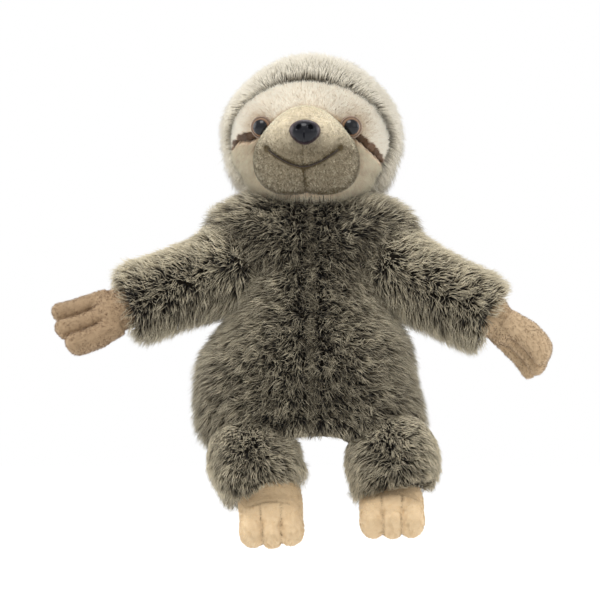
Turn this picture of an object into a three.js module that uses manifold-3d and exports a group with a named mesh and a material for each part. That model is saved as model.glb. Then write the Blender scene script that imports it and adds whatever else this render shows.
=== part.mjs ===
// A sloth hand puppet: a fur bag that the hand goes into from below, with a hooded head on
// the fingers, two arms on the thumb and little finger, and two stuffed legs.
// Millimetres, +Z up, the face looks along -Y. The origin is the centre of the hand opening.
import * as THREE from 'three';
import { mergeVertices } from 'three/addons/utils/BufferGeometryUtils.js';
import Module from 'manifold-3d';

// Clearances between sewn pieces and inside the turning seams.
const seamGap = 0.3;
const turnGap = 0.6;
const tapeThickness = 1.2;
const tapeHalfWidth = 3.5;

// Cloth thicknesses.
const furWall = 8;
const liningWall = 1.2;
const facePile = 4;
const hoodWall = 9;
const velourWall = 1.8;
const muzzleWall = 3;

// Body bag.
const bodyAxisY = -22;
const bodySquareness = 2.3;
const hemHalfWidth = 58;
const hipHalfWidth = 66;
const hipHeight = 20;
const waistHalfWidth = 50;
const waistHeight = 62;
const chestHalfWidth = 38;
const chestHeight = 105;
const collarHalfWidth = 33;
const collarHeight = 126;
const bellyFront = 48;
const seatBack = 50;
const chestFront = 38;
const chestBack = 37;
const collarFront = 31;
const seatThickness = 7;

// Hand opening in the seat.
const mouthHalfWidth = 38;
const mouthHalfDepth = 16;
const hemWall = 3;
const hemDrop = 3;

// Neck.
const neckRadius = 26;
const neckHeight = 136;
const neckWall = 6;
const neckPassageRadius = 16;
const neckTapeHeight = 10;

// Head.
const headRise = 51;
const headHalfWidth = 50;
const headFront = 42;
const headBack = 44;
const headHalfHeight = 42;
const headSquareness = 2.35;
const headYaw = -4.8;
const faceHalfWidth = 45;
const faceHalfHeight = 37;
const faceDrop = 5;
const fingerPocketRadius = 13;
const fingerPocketTop = 60;

// Face.
const browDip = 6;
const stripeWidth = 5.5;
const eyeSpacing = 53;
const eyeRise = 2;
const eyeRadius = 6;
const eyeDomeHeight = 5;
const eyeToeOut = 14;
const shankRadius = 2;
const shankLength = 11;
const washerRadius = 6.5;
const washerThickness = 1.6;
const muzzleHalfWidth = 31;
const muzzleRise = 30;
const muzzleDrop = 21;
const muzzleLength = 27;
const muzzleCentreDrop = 17;
const muzzleTipRise = 9;
const muzzleSeat = 0.84;
const noseWidth = 18.5;
const noseHeight = 15;
const noseDepth = 8;
const noseRise = -1.5;
const smileHalfWidth = 21.5;
const smileDrop = 21.5;
const smileLift = 11;
const threadRadius = 0.7;

// Arms.
const shoulderSpacing = 92;
const shoulderY = -24;
const armRadius = 28;
const armMouth = 17;
const armTapeReach = 14;
const sleeveLength = 67;
const sleeveMidRadius = 25;
const cuffRadius = 21.5;
const stallRadius = 15;
const leftArmDrop = 20;
const rightArmDrop = 26;

// Legs.
const hipSpacing = 84;
const hipShift = 3;
const hipY = -47;
const hipPivotHeight = -6;
const legRadius = 25;
const legMouth = 14;
const hipTapeReach = 13;
const legLength = 22;
const legWall = 6;
const legCuffRadius = 21.5;
const leftLegLean = -22;
const rightLegLean = -4;

// Paws: the ball sits in the cuff, and three fingers or toes leave the palm.
const hand = {
  ball: 13, out: 3, width: 33, thickness: 20, length: 44, finger: 20, fan: 7, curl: 5,
};
const foot = {
  ball: 15.5, out: 6, width: 40, thickness: 23, length: 41, finger: 18, fan: 5, curl: 4,
};
const rightHandBend = -15;
const leftFootPitch = 40;
const rightFootPitch = 55;

// Facet counts.
const bodySides = 22;
const headSides = 22;
const innerHeadSides = 16;
const limbSides = 24;
const stuffingSides = 16;
const stallSides = 14;
const palmSides = 12;
const fingerSides = 6;
const innerPalmSides = 8;
const innerFingerSides = 4;

const wasm = await Module();
wasm.setup();
const degrees = THREE.MathUtils.degToRad;

const palette = {
  bodyFur: { color: 0x73695c, roughness: 0.95 },
  hoodFur: { color: 0x8f8676, roughness: 0.95 },
  browPlush: { color: 0xecdec4, roughness: 0.9 },
  stripePlush: { color: 0x4d3b2c, roughness: 0.9 },
  cheekPlush: { color: 0xb4a894, roughness: 0.9 },
  muzzleVelour: { color: 0xb0a184, roughness: 0.9 },
  pawVelour: { color: 0xcbaa82, roughness: 0.9 },
  thread: { color: 0x3a2d24, roughness: 0.8 },
  nosePlastic: { color: 0x24263a, roughness: 0.25 },
  eyePlastic: { color: 0x3b2a1c, roughness: 0.1 },
  washerPlastic: { color: 0xe8e8e4, roughness: 0.5 },
  stuffing: { color: 0xf2efe8, roughness: 1 },
  lining: { color: 0x4a443d, roughness: 0.9 },
  tape: { color: 0x5a5148, roughness: 0.9 },
};

const materials = Object.fromEntries(
  Object.entries(palette).map(([name, look]) => [
    name, new THREE.MeshStandardMaterial({ ...look, metalness: 0, name }),
  ]),
);

// Closed geometry to a solid, with its faces turned outwards.
function solidOf(geometry) {
  const bare = geometry.clone();
  bare.deleteAttribute('normal');
  bare.deleteAttribute('uv');
  const merged = mergeVertices(bare, 1e-4);
  const vertProperties = new Float32Array(merged.attributes.position.array);
  const triVerts = new Uint32Array(merged.index.array);
  const corner = [new THREE.Vector3(), new THREE.Vector3(), new THREE.Vector3()];
  let volume = 0;
  for (let t = 0; t < triVerts.length; t += 3) {
    corner.forEach((v, k) => v.fromArray(vertProperties, 3 * triVerts[t + k]));
    volume += corner[0].dot(corner[1].cross(corner[2]));
  }
  if (volume < 0) {
    for (let t = 0; t < triVerts.length; t += 3) {
      [triVerts[t + 1], triVerts[t + 2]] = [triVerts[t + 2], triVerts[t + 1]];
    }
  }
  return new wasm.Manifold(new wasm.Mesh({ numProp: 3, vertProperties, triVerts }));
}

function geometryOf(solid) {
  const { vertProperties, triVerts, numProp } = solid.getMesh();
  const points = [];
  for (let v = 0; v < vertProperties.length; v += numProp) {
    points.push(vertProperties[v], vertProperties[v + 1], vertProperties[v + 2]);
  }
  const geometry = new THREE.BufferGeometry();
  geometry.setAttribute('position', new THREE.Float32BufferAttribute(points, 3));
  geometry.setIndex(Array.from(triVerts));
  geometry.computeVertexNormals();
  return geometry;
}

// The largest body of a cut, without the slivers that the cut left.
function mainBody(solid) {
  return solid.decompose().sort((one, other) => other.volume() - one.volume())[0];
}

function addPiece(group, name, solid, material) {
  const mesh = new THREE.Mesh(geometryOf(mainBody(solid)), material);
  mesh.name = name;
  group.add(mesh);
}

// Skins a stack of rings, lowest first, and closes both ends.
function loft(rings) {
  const sides = rings[0].length;
  const index = [];
  for (let r = 0; r + 1 < rings.length; r++) {
    for (let s = 0; s < sides; s++) {
      const a = r * sides + s;
      const b = r * sides + ((s + 1) % sides);
      index.push(a, b, b + sides, a, b + sides, a + sides);
    }
  }
  const last = (rings.length - 1) * sides;
  for (let s = 1; s + 1 < sides; s++) {
    index.push(0, s + 1, s, last, last + s, last + s + 1);
  }
  const geometry = new THREE.BufferGeometry().setFromPoints(rings.flat());
  geometry.setIndex(index);
  return solidOf(geometry);
}

// One ring of a loft: a superellipse with its own reach to the front and to the back.
function oval({ x = 0, y = 0, z, half, front = half, back = front, power = 2 }, sides) {
  return Array.from({ length: sides }, (_, s) => {
    const angle = (2 * Math.PI * s) / sides;
    const c = Math.cos(angle);
    const d = Math.sin(angle);
    const reach = (Math.abs(c) ** power + Math.abs(d) ** power) ** (-1 / power);
    return new THREE.Vector3(x + half * c * reach, y + (d < 0 ? front : back) * d * reach, z);
  });
}

function ball(radius, centre = new THREE.Vector3(), sides = limbSides) {
  const geometry = new THREE.SphereGeometry(radius, sides, sides / 2);
  return solidOf(geometry.rotateX(Math.PI / 2).translate(centre.x, centre.y, centre.z));
}

function box(low, high) {
  const size = new THREE.Vector3().subVectors(high, low);
  const geometry = new THREE.BoxGeometry(size.x, size.y, size.z);
  const middle = new THREE.Vector3().addVectors(low, high).multiplyScalar(0.5);
  return solidOf(geometry.translate(middle.x, middle.y, middle.z));
}

// A very large block on one side of a plane, used for flat cuts.
const far = 400;

function above(z) {
  return box(new THREE.Vector3(-far, -far, z), new THREE.Vector3(far, far, far));
}

function below(z) {
  return box(new THREE.Vector3(-far, -far, -far), new THREE.Vector3(far, far, z));
}

// An outline in the X-Z plane, drawn out towards the front and back.
function prism(shape, depth = 2 * far) {
  const geometry = new THREE.ExtrudeGeometry(shape, { depth, bevelEnabled: false, curveSegments: 24 });
  return solidOf(geometry.rotateX(Math.PI / 2).translate(0, depth / 2, 0));
}

function outline(points) {
  return new THREE.Shape(points.map(([x, z]) => new THREE.Vector2(x, z)));
}

// A turned profile of [radius, height] pairs about Z.
function turned(profile, sides) {
  const points = profile.map(([radius, height]) => new THREE.Vector2(radius, height));
  return solidOf(new THREE.LatheGeometry(points, sides).rotateX(Math.PI / 2));
}

// A seam tape: a band on a sphere about its centre, middle height up the Z axis.
function seamTape(innerRadius, height) {
  const steps = [-1, 1];
  const arc = (radius, order) => order.map((k) => {
    const level = height + k * tapeHalfWidth;
    return [Math.sqrt(radius ** 2 - level ** 2), level];
  });
  const wall = [...arc(innerRadius + tapeThickness, steps), ...arc(innerRadius, [...steps].reverse())];
  return turned([...wall, wall[0]], limbSides);
}

// The socket that leaves room for one seam tape round a ball.
const socketRadiusFor = (radius) => radius + 2 * turnGap + tapeThickness;

// Body bag: its outer form, and the same form drawn in for the wall and the lining.
const bodyStations = [
  { z: -2, half: hemHalfWidth - 1, front: bellyFront - 7, back: seatBack },
  { z: hipHeight * 0.4, half: hipHalfWidth - 2, front: bellyFront - 1, back: seatBack },
  { z: hipHeight, half: hipHalfWidth, front: bellyFront, back: seatBack },
  { z: (hipHeight + waistHeight) / 2, half: (hipHalfWidth + waistHalfWidth) / 2 + 2, front: bellyFront, back: seatBack - 1 },
  { z: waistHeight, half: waistHalfWidth, front: bellyFront - 2, back: seatBack - 4 },
  { z: (waistHeight + chestHeight) / 2, half: (waistHalfWidth + chestHalfWidth) / 2 - 3.5, front: chestFront + 4, back: chestBack + 4 },
  { z: chestHeight, half: chestHalfWidth, front: chestFront, back: chestBack },
  { z: (chestHeight + collarHeight) / 2, half: chestHalfWidth - 1, front: chestFront - 2, back: chestBack - 2 },
  { z: collarHeight, half: collarHalfWidth, front: collarFront, back: collarFront },
];

// The lining skips the stations where the bag swells least.
const liningStations = bodyStations.filter((_, k) => k % 3 !== 1);

// The bag's rings end in the neck's ball, whose top is open to the head.
function bodyForm(inset, floor, top, stations = bodyStations) {
  const rings = stations.map((station) => oval({
    y: bodyAxisY,
    z: station.z,
    half: station.half - inset,
    front: station.front - inset,
    back: station.back - inset,
    power: bodySquareness,
  }, bodySides));
  const domeRadius = neckRadius - (inset > 0 ? inset - furWall + neckWall : 0);
  const domeTop = Math.acos(neckPassageRadius / domeRadius);
  const dome = [-0.2, 0.25, 0.65, 1].map((share) => ({
    z: neckHeight + domeRadius * Math.sin(domeTop * share),
    half: domeRadius * Math.cos(domeTop * share),
  }));
  const chimney = { z: neckHeight + neckRadius, half: neckPassageRadius };
  const domeRings = (inset > 0 ? [...dome, chimney] : dome)
    .map((ring) => oval({ ...ring, y: bodyAxisY }, bodySides));
  return loft([...rings, ...domeRings]).subtract(below(floor)).subtract(above(top));
}

const neckPivot = new THREE.Vector3(0, bodyAxisY, neckHeight);
const shoulders = [-1, 1].map((side) => new THREE.Vector3(side * shoulderSpacing / 2, shoulderY, chestHeight));
const hips = [-1, 1].map((side) => new THREE.Vector3(hipShift + side * hipSpacing / 2, hipY, hipPivotHeight));

function makeBody(group) {
  const socketsOf = (spare, sides) => [
    ...shoulders.map((pivot) => ball(socketRadiusFor(armRadius) + spare, pivot, sides)),
    ...hips.map((pivot) => ball(socketRadiusFor(legRadius) + spare, pivot, sides)),
  ];
  const cutAll = (solid, sockets) => sockets.reduce((rest, socket) => rest.subtract(socket), solid);
  const sockets = socketsOf(0, limbSides);
  const cutSockets = (solid) => cutAll(solid, sockets);
  const shell = bodyForm(0, 0, far).subtract(bodyForm(furWall, -1, far));
  const cut = seamGap / 2;
  const wall = cutSockets(shell);
  const frontLeft = box(new THREE.Vector3(-far, -far, -1), new THREE.Vector3(-cut, bodyAxisY - cut, far));
  const frontRight = box(new THREE.Vector3(cut, -far, -1), new THREE.Vector3(far, bodyAxisY - cut, far));
  const rear = box(new THREE.Vector3(-far, bodyAxisY + cut, -1), new THREE.Vector3(far, far, far));
  addPiece(group, 'front_panel_left', wall.intersect(frontLeft), materials.bodyFur);
  addPiece(group, 'front_panel_right', wall.intersect(frontRight), materials.bodyFur);
  addPiece(group, 'back_panel', wall.intersect(rear), materials.bodyFur);

  // The seat closes the bag around the hand opening, which a turned hem binds.
  const hemRing = (grow, low, high) => loft([low, high].map((z) => oval({
    z, half: mouthHalfWidth + grow, front: mouthHalfDepth + grow,
  }, bodySides)));
  const mouth = hemRing(hemWall + seamGap, -far, far);
  const seat = bodyForm(furWall + seamGap, 0, seatThickness).subtract(mouth);
  addPiece(group, 'seat_gusset', cutSockets(seat), materials.bodyFur);
  const hem = hemRing(hemWall, -hemDrop, seatThickness).subtract(hemRing(0, -far, far));
  addPiece(group, 'hem_binding', cutSockets(hem), materials.tape);

  // The lining follows the inside of the bag up to the neck.
  const liningTop = neckHeight - 8;
  const liningInset = furWall + 3 * seamGap;
  const lining = bodyForm(liningInset, seatThickness + seamGap, liningTop, liningStations)
    .subtract(bodyForm(liningInset + liningWall, 0, far, liningStations));
  addPiece(group, 'body_lining', cutAll(lining, socketsOf(1, stuffingSides)), materials.lining);
}

// Neck: two seam tapes inside each other let the head turn and tilt.
function makeNeck(group) {
  const inner = neckRadius + turnGap;
  addPiece(group, 'neck_seam_tape', seamTape(inner, neckTapeHeight), materials.tape);
  addPiece(group, 'neck_edging', seamTape(inner + tapeThickness + turnGap, neckTapeHeight), materials.tape);
}

// Head form: the length of a ray from the head's centre to its skin.
function headReach(direction, inset) {
  const across = Math.abs(direction.x) / (headHalfWidth - inset);
  const depth = direction.y < 0 ? headFront - inset : headBack - inset;
  const along = Math.abs(direction.y) / depth;
  const up = Math.abs(direction.z) / (headHalfHeight - inset);
  return (across ** headSquareness + along ** headSquareness + up ** headSquareness) ** (-1 / headSquareness);
}

function headForm(inset, sides = headSides, levels = 10) {
  const rings = Array.from({ length: levels }, (_, k) => {
    const latitude = degrees(-84 + (168 * k) / (levels - 1));
    return Array.from({ length: sides }, (_, s) => {
      const longitude = (2 * Math.PI * s) / sides;
      const direction = new THREE.Vector3(
        Math.cos(latitude) * Math.cos(longitude),
        Math.cos(latitude) * Math.sin(longitude),
        Math.sin(latitude),
      );
      return direction.multiplyScalar(headReach(direction, inset)).setZ(direction.z + headRise);
    });
  });
  return loft(rings);
}

// The depth of the head's skin straight behind a point of the face.
function headSkinY(x, z, inset) {
  const across = Math.abs(x) / (headHalfWidth - inset);
  const up = Math.abs(z - headRise) / (headHalfHeight - inset);
  const rest = 1 - across ** headSquareness - up ** headSquareness;
  return -(headFront - inset) * Math.max(rest, 0.02) ** (1 / headSquareness);
}

// Muzzle outline in polar form about its centre, from straight up: a soft triangle.
function muzzleRadius(angle) {
  const middle = (muzzleRise + muzzleDrop) / 2;
  const lift = (muzzleRise - muzzleDrop) / 2;
  const spread = (muzzleHalfWidth - middle) / 2;
  return middle + spread + lift * (0.45 * Math.cos(angle) + 0.55 * Math.cos(3 * angle))
    - spread * Math.cos(2 * angle);
}

function muzzleSection(t) {
  return {
    scale: (1 - t ** 2.5) ** (1 / 2.5),
    z: headRise - muzzleCentreDrop + muzzleTipRise * t ** 1.5,
    y: headSkinY(0, headRise - muzzleCentreDrop, facePile) + 8 - (muzzleLength + 8) * t,
  };
}

const muzzleSteps = [0, 0.3, 0.55, 0.75, 0.88, 0.96, 0.99];

function muzzleForm(inset, back = 0, sides = headSides) {
  const rings = muzzleSteps.map((t, k) => {
    const section = muzzleSection(t);
    const shrink = inset * (t < 0.9 ? 1 : 0.9);
    return Array.from({ length: sides }, (_, s) => {
      const angle = (2 * Math.PI * s) / sides;
      const radius = Math.max(muzzleRadius(angle) * section.scale - shrink, 1);
      return new THREE.Vector3(
        radius * Math.sin(angle),
        section.y + inset * t + (k === 0 ? back : 0),
        section.z + radius * Math.cos(angle),
      );
    });
  });
  return loft(rings);
}

// The muzzle's front skin at a point of the face, by halving the interval.
function muzzleSkinY(x, z) {
  let near = 0;
  let tip = 0.999;
  for (let k = 0; k < 40; k++) {
    const t = (near + tip) / 2;
    const section = muzzleSection(t);
    const rise = z - section.z;
    const inside = Math.hypot(x, rise) < muzzleRadius(Math.atan2(x, rise)) * section.scale;
    [near, tip] = inside ? [t, tip] : [near, t];
  }
  return muzzleSection(near).y;
}

function smileHeight(x) {
  return headRise - smileDrop + smileLift * Math.abs(x / smileHalfWidth) ** 1.7;
}

// A press-through eye or nose: its dome, shank and washer on one axis along -Y.
function placed(solid, position, turnX, turnZ) {
  const matrix = new THREE.Matrix4().makeRotationFromEuler(
    new THREE.Euler(turnX, 0, turnZ, 'ZXY'),
  ).setPosition(position);
  return solid.transform(matrix.elements);
}

function shank(grow, length = shankLength) {
  const radius = shankRadius + grow;
  return turned([[0, -0.5], [radius, -0.5], [radius, length], [0, length]], 8);
}

function washer(grow, depth) {
  const bore = grow > 0 ? 0 : shankRadius + seamGap;
  const low = depth - grow;
  const high = depth + washerThickness + grow;
  const rim = washerRadius + grow;
  return turned([[bore, low], [rim, low], [rim, high], [bore, high], [bore, low]], 12);
}

function eyeDome() {
  const steps = 4;
  const arc = Array.from({ length: steps + 1 }, (_, k) => {
    const angle = (Math.PI / 2) * (1 - k / steps);
    return [eyeRadius * Math.cos(angle), -eyeDomeHeight * Math.sin(angle)];
  });
  return turned([...arc, [eyeRadius, 0.5], [0, 0.5]], 14);
}

function noseDome() {
  const levels = [[0, 0.94], [0.35, 1], [0.65, 0.88], [0.88, 0.62], [1, 0.25]];
  const rings = levels.map(([rise, size]) => Array.from({ length: 16 }, (_, s) => {
    const angle = (2 * Math.PI * s) / 16;
    const taper = 1 + 0.14 * Math.sin(angle);
    return new THREE.Vector3(
      (noseWidth / 2) * size * taper * Math.cos(angle),
      (noseHeight / 2) * size * Math.sin(angle),
      noseDepth * rise,
    );
  }));
  return loft(rings);
}

function makeHead(group) {
  const faceShape = new THREE.Shape();
  faceShape.absellipse(0, headRise - faceDrop, faceHalfWidth, faceHalfHeight, 0, 2 * Math.PI);
  const innerFaceShape = new THREE.Shape();
  innerFaceShape.absellipse(
    0, headRise - faceDrop, faceHalfWidth - seamGap, faceHalfHeight - seamGap, 0, 2 * Math.PI,
  );
  const front = box(new THREE.Vector3(-far, -far, -far), new THREE.Vector3(far, 0, far));
  const faceWindow = prism(faceShape).intersect(front);
  const facePlug = prism(innerFaceShape).intersect(front);
  const socketRadius = neckRadius + 3 * turnGap + 2 * tapeThickness;
  const socket = ball(socketRadius, new THREE.Vector3(), headSides);

  const shellInner = headForm(hoodWall, innerHeadSides, 9);
  const hood = headForm(0).subtract(shellInner).subtract(faceWindow).subtract(socket);
  const half = (side) => box(
    new THREE.Vector3(side < 0 ? -far : seamGap / 2, -far, -far),
    new THREE.Vector3(side < 0 ? -seamGap / 2 : far, far, far),
  );

  // Eyes sit where the brow, the stripe and the muzzle meet.
  const eyePlaces = [-1, 1].map((side) => {
    const x = (side * eyeSpacing) / 2;
    const z = headRise + eyeRise;
    return {
      position: new THREE.Vector3(x, headSkinY(x, z, facePile) - 0.6, z),
      turn: degrees(side * eyeToeOut),
    };
  });
  const washerDepth = hoodWall - facePile + 1.5;
  const alongEye = (solid, { position, turn }) => placed(solid, position, -Math.PI / 2, turn);
  const eyeSeats = eyePlaces.map((place) => alongEye(
    turned([
      [0, -eyeDomeHeight], [eyeRadius + seamGap, -eyeDomeHeight], [eyeRadius + seamGap, 0.5 + seamGap],
      [shankRadius + seamGap, 0.5 + seamGap], [shankRadius + seamGap, shankLength + seamGap],
      [0, shankLength + seamGap],
    ], 14).add(washer(seamGap, washerDepth)),
    place,
  ));
  const clearEyes = (solid) => eyeSeats.reduce((rest, seat) => rest.subtract(seat), solid);

  // Face panels between the hood's edge and the muzzle's seam.
  const muzzleSeatShape = new THREE.Shape(Array.from({ length: 32 }, (_, s) => {
    const angle = (2 * Math.PI * s) / 32;
    const radius = muzzleRadius(angle) * muzzleSeat;
    return new THREE.Vector2(
      radius * Math.sin(angle), headRise - muzzleCentreDrop + radius * Math.cos(angle),
    );
  }));
  const face = clearEyes(
    headForm(facePile).subtract(shellInner).intersect(facePlug).subtract(socket)
      .subtract(prism(muzzleSeatShape).intersect(front)),
  );
  const stripeTop = [[16, browDip + 1], [30, 0], [40, -8], [60, -27]];
  const lower = (points, drop) => points.map(([x, z]) => [x, z + headRise - drop]);
  const mirrored = (points) => points.map(([x, z]) => [-x, z]).reverse();
  const browEdge = lower(stripeTop, 0);
  const brow = outline([...browEdge, [far, headRise - 27], [far, far], [-far, far], [-far, headRise - 27],
    ...mirrored(browEdge)]);
  addPiece(group, 'brow_panel', face.intersect(prism(brow)), materials.browPlush);
  const stripeBottom = lower(stripeTop, stripeWidth);
  const stripe = outline([...lower(stripeTop, seamGap), ...[...stripeBottom].reverse()]);
  const cheek = outline([
    [seamGap / 2, headRise + browDip], ...lower(stripeTop, stripeWidth + seamGap), [far, headRise - 60],
    [far, -far], [seamGap / 2, -far],
  ]);
  const cheekSide = (side) => prism(cheek).scale([side, 1, 1]);
  ['left', 'right'].forEach((name, k) => {
    const side = k === 0 ? -1 : 1;
    addPiece(group, `hood_${name}`, hood.intersect(half(side)), materials.hoodFur);
    addPiece(group, `eye_stripe_${name}`, face.intersect(prism(stripe).scale([side, 1, 1])), materials.stripePlush);
    addPiece(group, `cheek_${name}`, face.intersect(cheekSide(side)), materials.cheekPlush);
    addPiece(group, `eye_${name}`, alongEye(eyeDome().add(shank(0)), eyePlaces[k]), materials.eyePlastic);
    addPiece(group, `eye_washer_${name}`, alongEye(washer(0, washerDepth), eyePlaces[k]), materials.washerPlastic);
  });

  // Muzzle: three velour panels over their own stuffing.
  const smileX = Array.from({ length: 13 }, (_, k) => smileHalfWidth * (k / 6 - 1));
  const smilePath = new THREE.CatmullRomCurve3(smileX.map((x) => new THREE.Vector3(
    x, muzzleSkinY(x, smileHeight(x)) - threadRadius - seamGap, smileHeight(x),
  )));
  const thread = () => {
    const section = new THREE.Shape();
    section.absellipse(0, 0, threadRadius, threadRadius, 0, 2 * Math.PI);
    return solidOf(new THREE.ExtrudeGeometry(section, {
      steps: 14, curveSegments: 2, extrudePath: smilePath, bevelEnabled: false,
    }));
  };
  const noseAt = new THREE.Vector3(0, 0, headRise + noseRise);
  noseAt.y = muzzleSkinY(0, noseAt.z) - seamGap;
  const alongNose = (solid) => placed(solid, noseAt, -Math.PI / 2, 0);
  const noseSolid = placed(noseDome(), noseAt, Math.PI / 2, 0);
  const noseWasherDepth = muzzleWall + 2;
  const noseSeat = alongNose(shank(seamGap, shankLength + seamGap).add(washer(seamGap, noseWasherDepth)));
  const onFace = headForm(facePile - seamGap);
  const noseRest = placed(noseDome().scale([1.06, 1.06, 1]), noseAt, Math.PI / 2, 0);
  const muzzleShell = clearEyes(
    muzzleForm(0).subtract(muzzleForm(muzzleWall, 20, innerHeadSides)).subtract(onFace)
      .subtract(noseSeat).subtract(noseRest),
  );
  const smileEdge = Array.from({ length: 15 }, (_, k) => {
    const x = (smileHalfWidth + 4) * (k / 7 - 1);
    return [x, smileHeight(x)];
  });
  const [edgeLeft] = smileEdge;
  const edgeEnd = edgeLeft[1] + 4;
  const upper = outline([[-far, edgeEnd], ...smileEdge, [far, edgeEnd], [far, far], [-far, far]]);
  const dropped = smileEdge.map(([x, z]) => [x, z - seamGap]);
  const jaw = outline([[-far, edgeEnd - seamGap], [-far, -far], [far, -far], [far, edgeEnd - seamGap],
    ...dropped.reverse()]);
  const jawSolid = muzzleShell.intersect(prism(jaw));
  addPiece(group, 'muzzle_upper', muzzleShell.intersect(prism(upper)), materials.muzzleVelour);
  addPiece(group, 'muzzle_lower_left', jawSolid.intersect(half(-1)), materials.muzzleVelour);
  addPiece(group, 'muzzle_lower_right', jawSolid.intersect(half(1)), materials.muzzleVelour);
  addPiece(group, 'smile_stitch', thread(), materials.thread);
  addPiece(group, 'nose', noseSolid.add(alongNose(shank(0))), materials.nosePlastic);
  addPiece(group, 'nose_washer', alongNose(washer(0, noseWasherDepth)), materials.washerPlastic);
  const onStuffing = headForm(hoodWall, innerHeadSides, 9);
  const seatInner = new THREE.Shape(muzzleSeatShape.getPoints().map((point) => new THREE.Vector2(
    point.x * 0.98, (point.y - headRise + muzzleCentreDrop) * 0.98 + headRise - muzzleCentreDrop,
  )));
  const muzzleInside = muzzleForm(muzzleWall + seamGap, 20, innerHeadSides);
  const throughFace = muzzleInside.intersect(prism(seatInner)).subtract(onStuffing);
  const muzzleFill = muzzleInside.subtract(onFace).add(throughFace).subtract(noseSeat).subtract(socket);
  addPiece(group, 'muzzle_stuffing', clearEyes(muzzleFill), materials.stuffing);

  // Stuffing with a pocket for the fingers.
  const pocket = (radius, low) => loft([
    [low, 1], [fingerPocketTop - radius, 1], [fingerPocketTop - radius * 0.4, 0.86], [fingerPocketTop, 0.4],
  ].map(([z, size]) => oval({ z, half: radius * size }, stallSides)));
  const pocketFloor = Math.sqrt(socketRadius ** 2 - fingerPocketRadius ** 2);
  const fill = headForm(hoodWall + seamGap, innerHeadSides, 9)
    .subtract(ball(socketRadius + 1, new THREE.Vector3(), innerHeadSides))
    .subtract(pocket(fingerPocketRadius, 0));
  addPiece(group, 'head_stuffing', clearEyes(fill), materials.stuffing);
  const stall = pocket(fingerPocketRadius - seamGap, pocketFloor)
    .subtract(pocket(fingerPocketRadius - seamGap - liningWall, 0).translate([0, 0, -liningWall]));
  addPiece(group, 'finger_pocket', stall, materials.lining);
}

// A limb's form hangs down -Z from the ball at its root.
function limbForm(radius, stations, inset, mouth) {
  const arc = 4;
  const top = Math.asin(mouth / radius);
  const stationRings = stations.map(([z, size, flat]) => ({
    z, half: size - inset, front: (size - inset) * flat,
  }));
  const ballRings = Array.from({ length: arc + 1 }, (_, k) => {
    const angle = (top * k) / arc;
    return { z: radius * Math.sin(angle), half: radius * Math.cos(angle) - inset };
  });
  return loft([...stationRings, ...ballRings].map((ring) => oval(ring, limbSides)));
}

// A paw: the ball in the cuff, a flat palm and three rounded fingers.
function pawForm(size, inset, sidesOfPalm, sidesOfFinger) {
  const half = size.width / 2 - inset;
  const thick = size.thickness / 2 - inset;
  const ballRadius = size.ball - inset;
  const palmEnd = size.finger - size.length;
  const palmStations = [
    [palmEnd - 2, 0.7, 0.45], [palmEnd * 0.9, 0.97, 0.8], [palmEnd * 0.6, 1, 1], [palmEnd * 0.3, 0.8, 0.96],
  ].map(([z, wide, deep]) => ({ z, half: half * wide, front: thick * deep }));
  const ballStations = [0, 0.45, 0.8].map((share) => {
    const z = ballRadius * share;
    return { z, half: Math.sqrt(ballRadius ** 2 - z ** 2) };
  });
  const palm = loft([...palmStations, ...ballStations].map((ring) => oval(ring, sidesOfPalm)));
  const fingerRadius = size.width / 6;
  const root = palmEnd + 8;
  const fingers = [-1, 0, 1].map((place) => {
    const tip = inset - size.length + Math.abs(place) * 2.5;
    const stations = [[tip, 0.5], [tip + 3, 0.92], [palmEnd - 4, 1.04], [root, 0.8]];
    const lean = Math.tan(degrees(size.fan)) * place;
    return loft(stations.map(([z, share]) => oval({
      x: place * (fingerRadius * 1.85) + lean * (root - z),
      y: -size.curl * Math.max((palmEnd - z) / size.finger, 0) ** 2,
      z,
      half: (fingerRadius + 0.5 - inset) * share,
      front: (size.thickness / 2 - 2 - inset) * share * 0.9,
    }, sidesOfFinger)));
  });
  return fingers.reduce((sum, finger) => sum.add(finger), palm);
}

function makePaw(group, names, size) {
  const rim = size.ball * 0.55;
  const open = above(rim);
  const inside = (inset) => pawForm(size, inset, innerPalmSides, innerFingerSides);
  const cover = pawForm(size, 0, palmSides, fingerSides).subtract(inside(velourWall)).subtract(open);
  addPiece(group, names.cover, cover, materials.pawVelour);
  addPiece(group, names.stuffing, inside(velourWall + seamGap).subtract(open), materials.stuffing);
}

function childGroup(parent, position, rotation) {
  const group = new THREE.Group();
  group.position.copy(position);
  group.rotation.copy(rotation);
  parent.add(group);
  return group;
}

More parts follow.
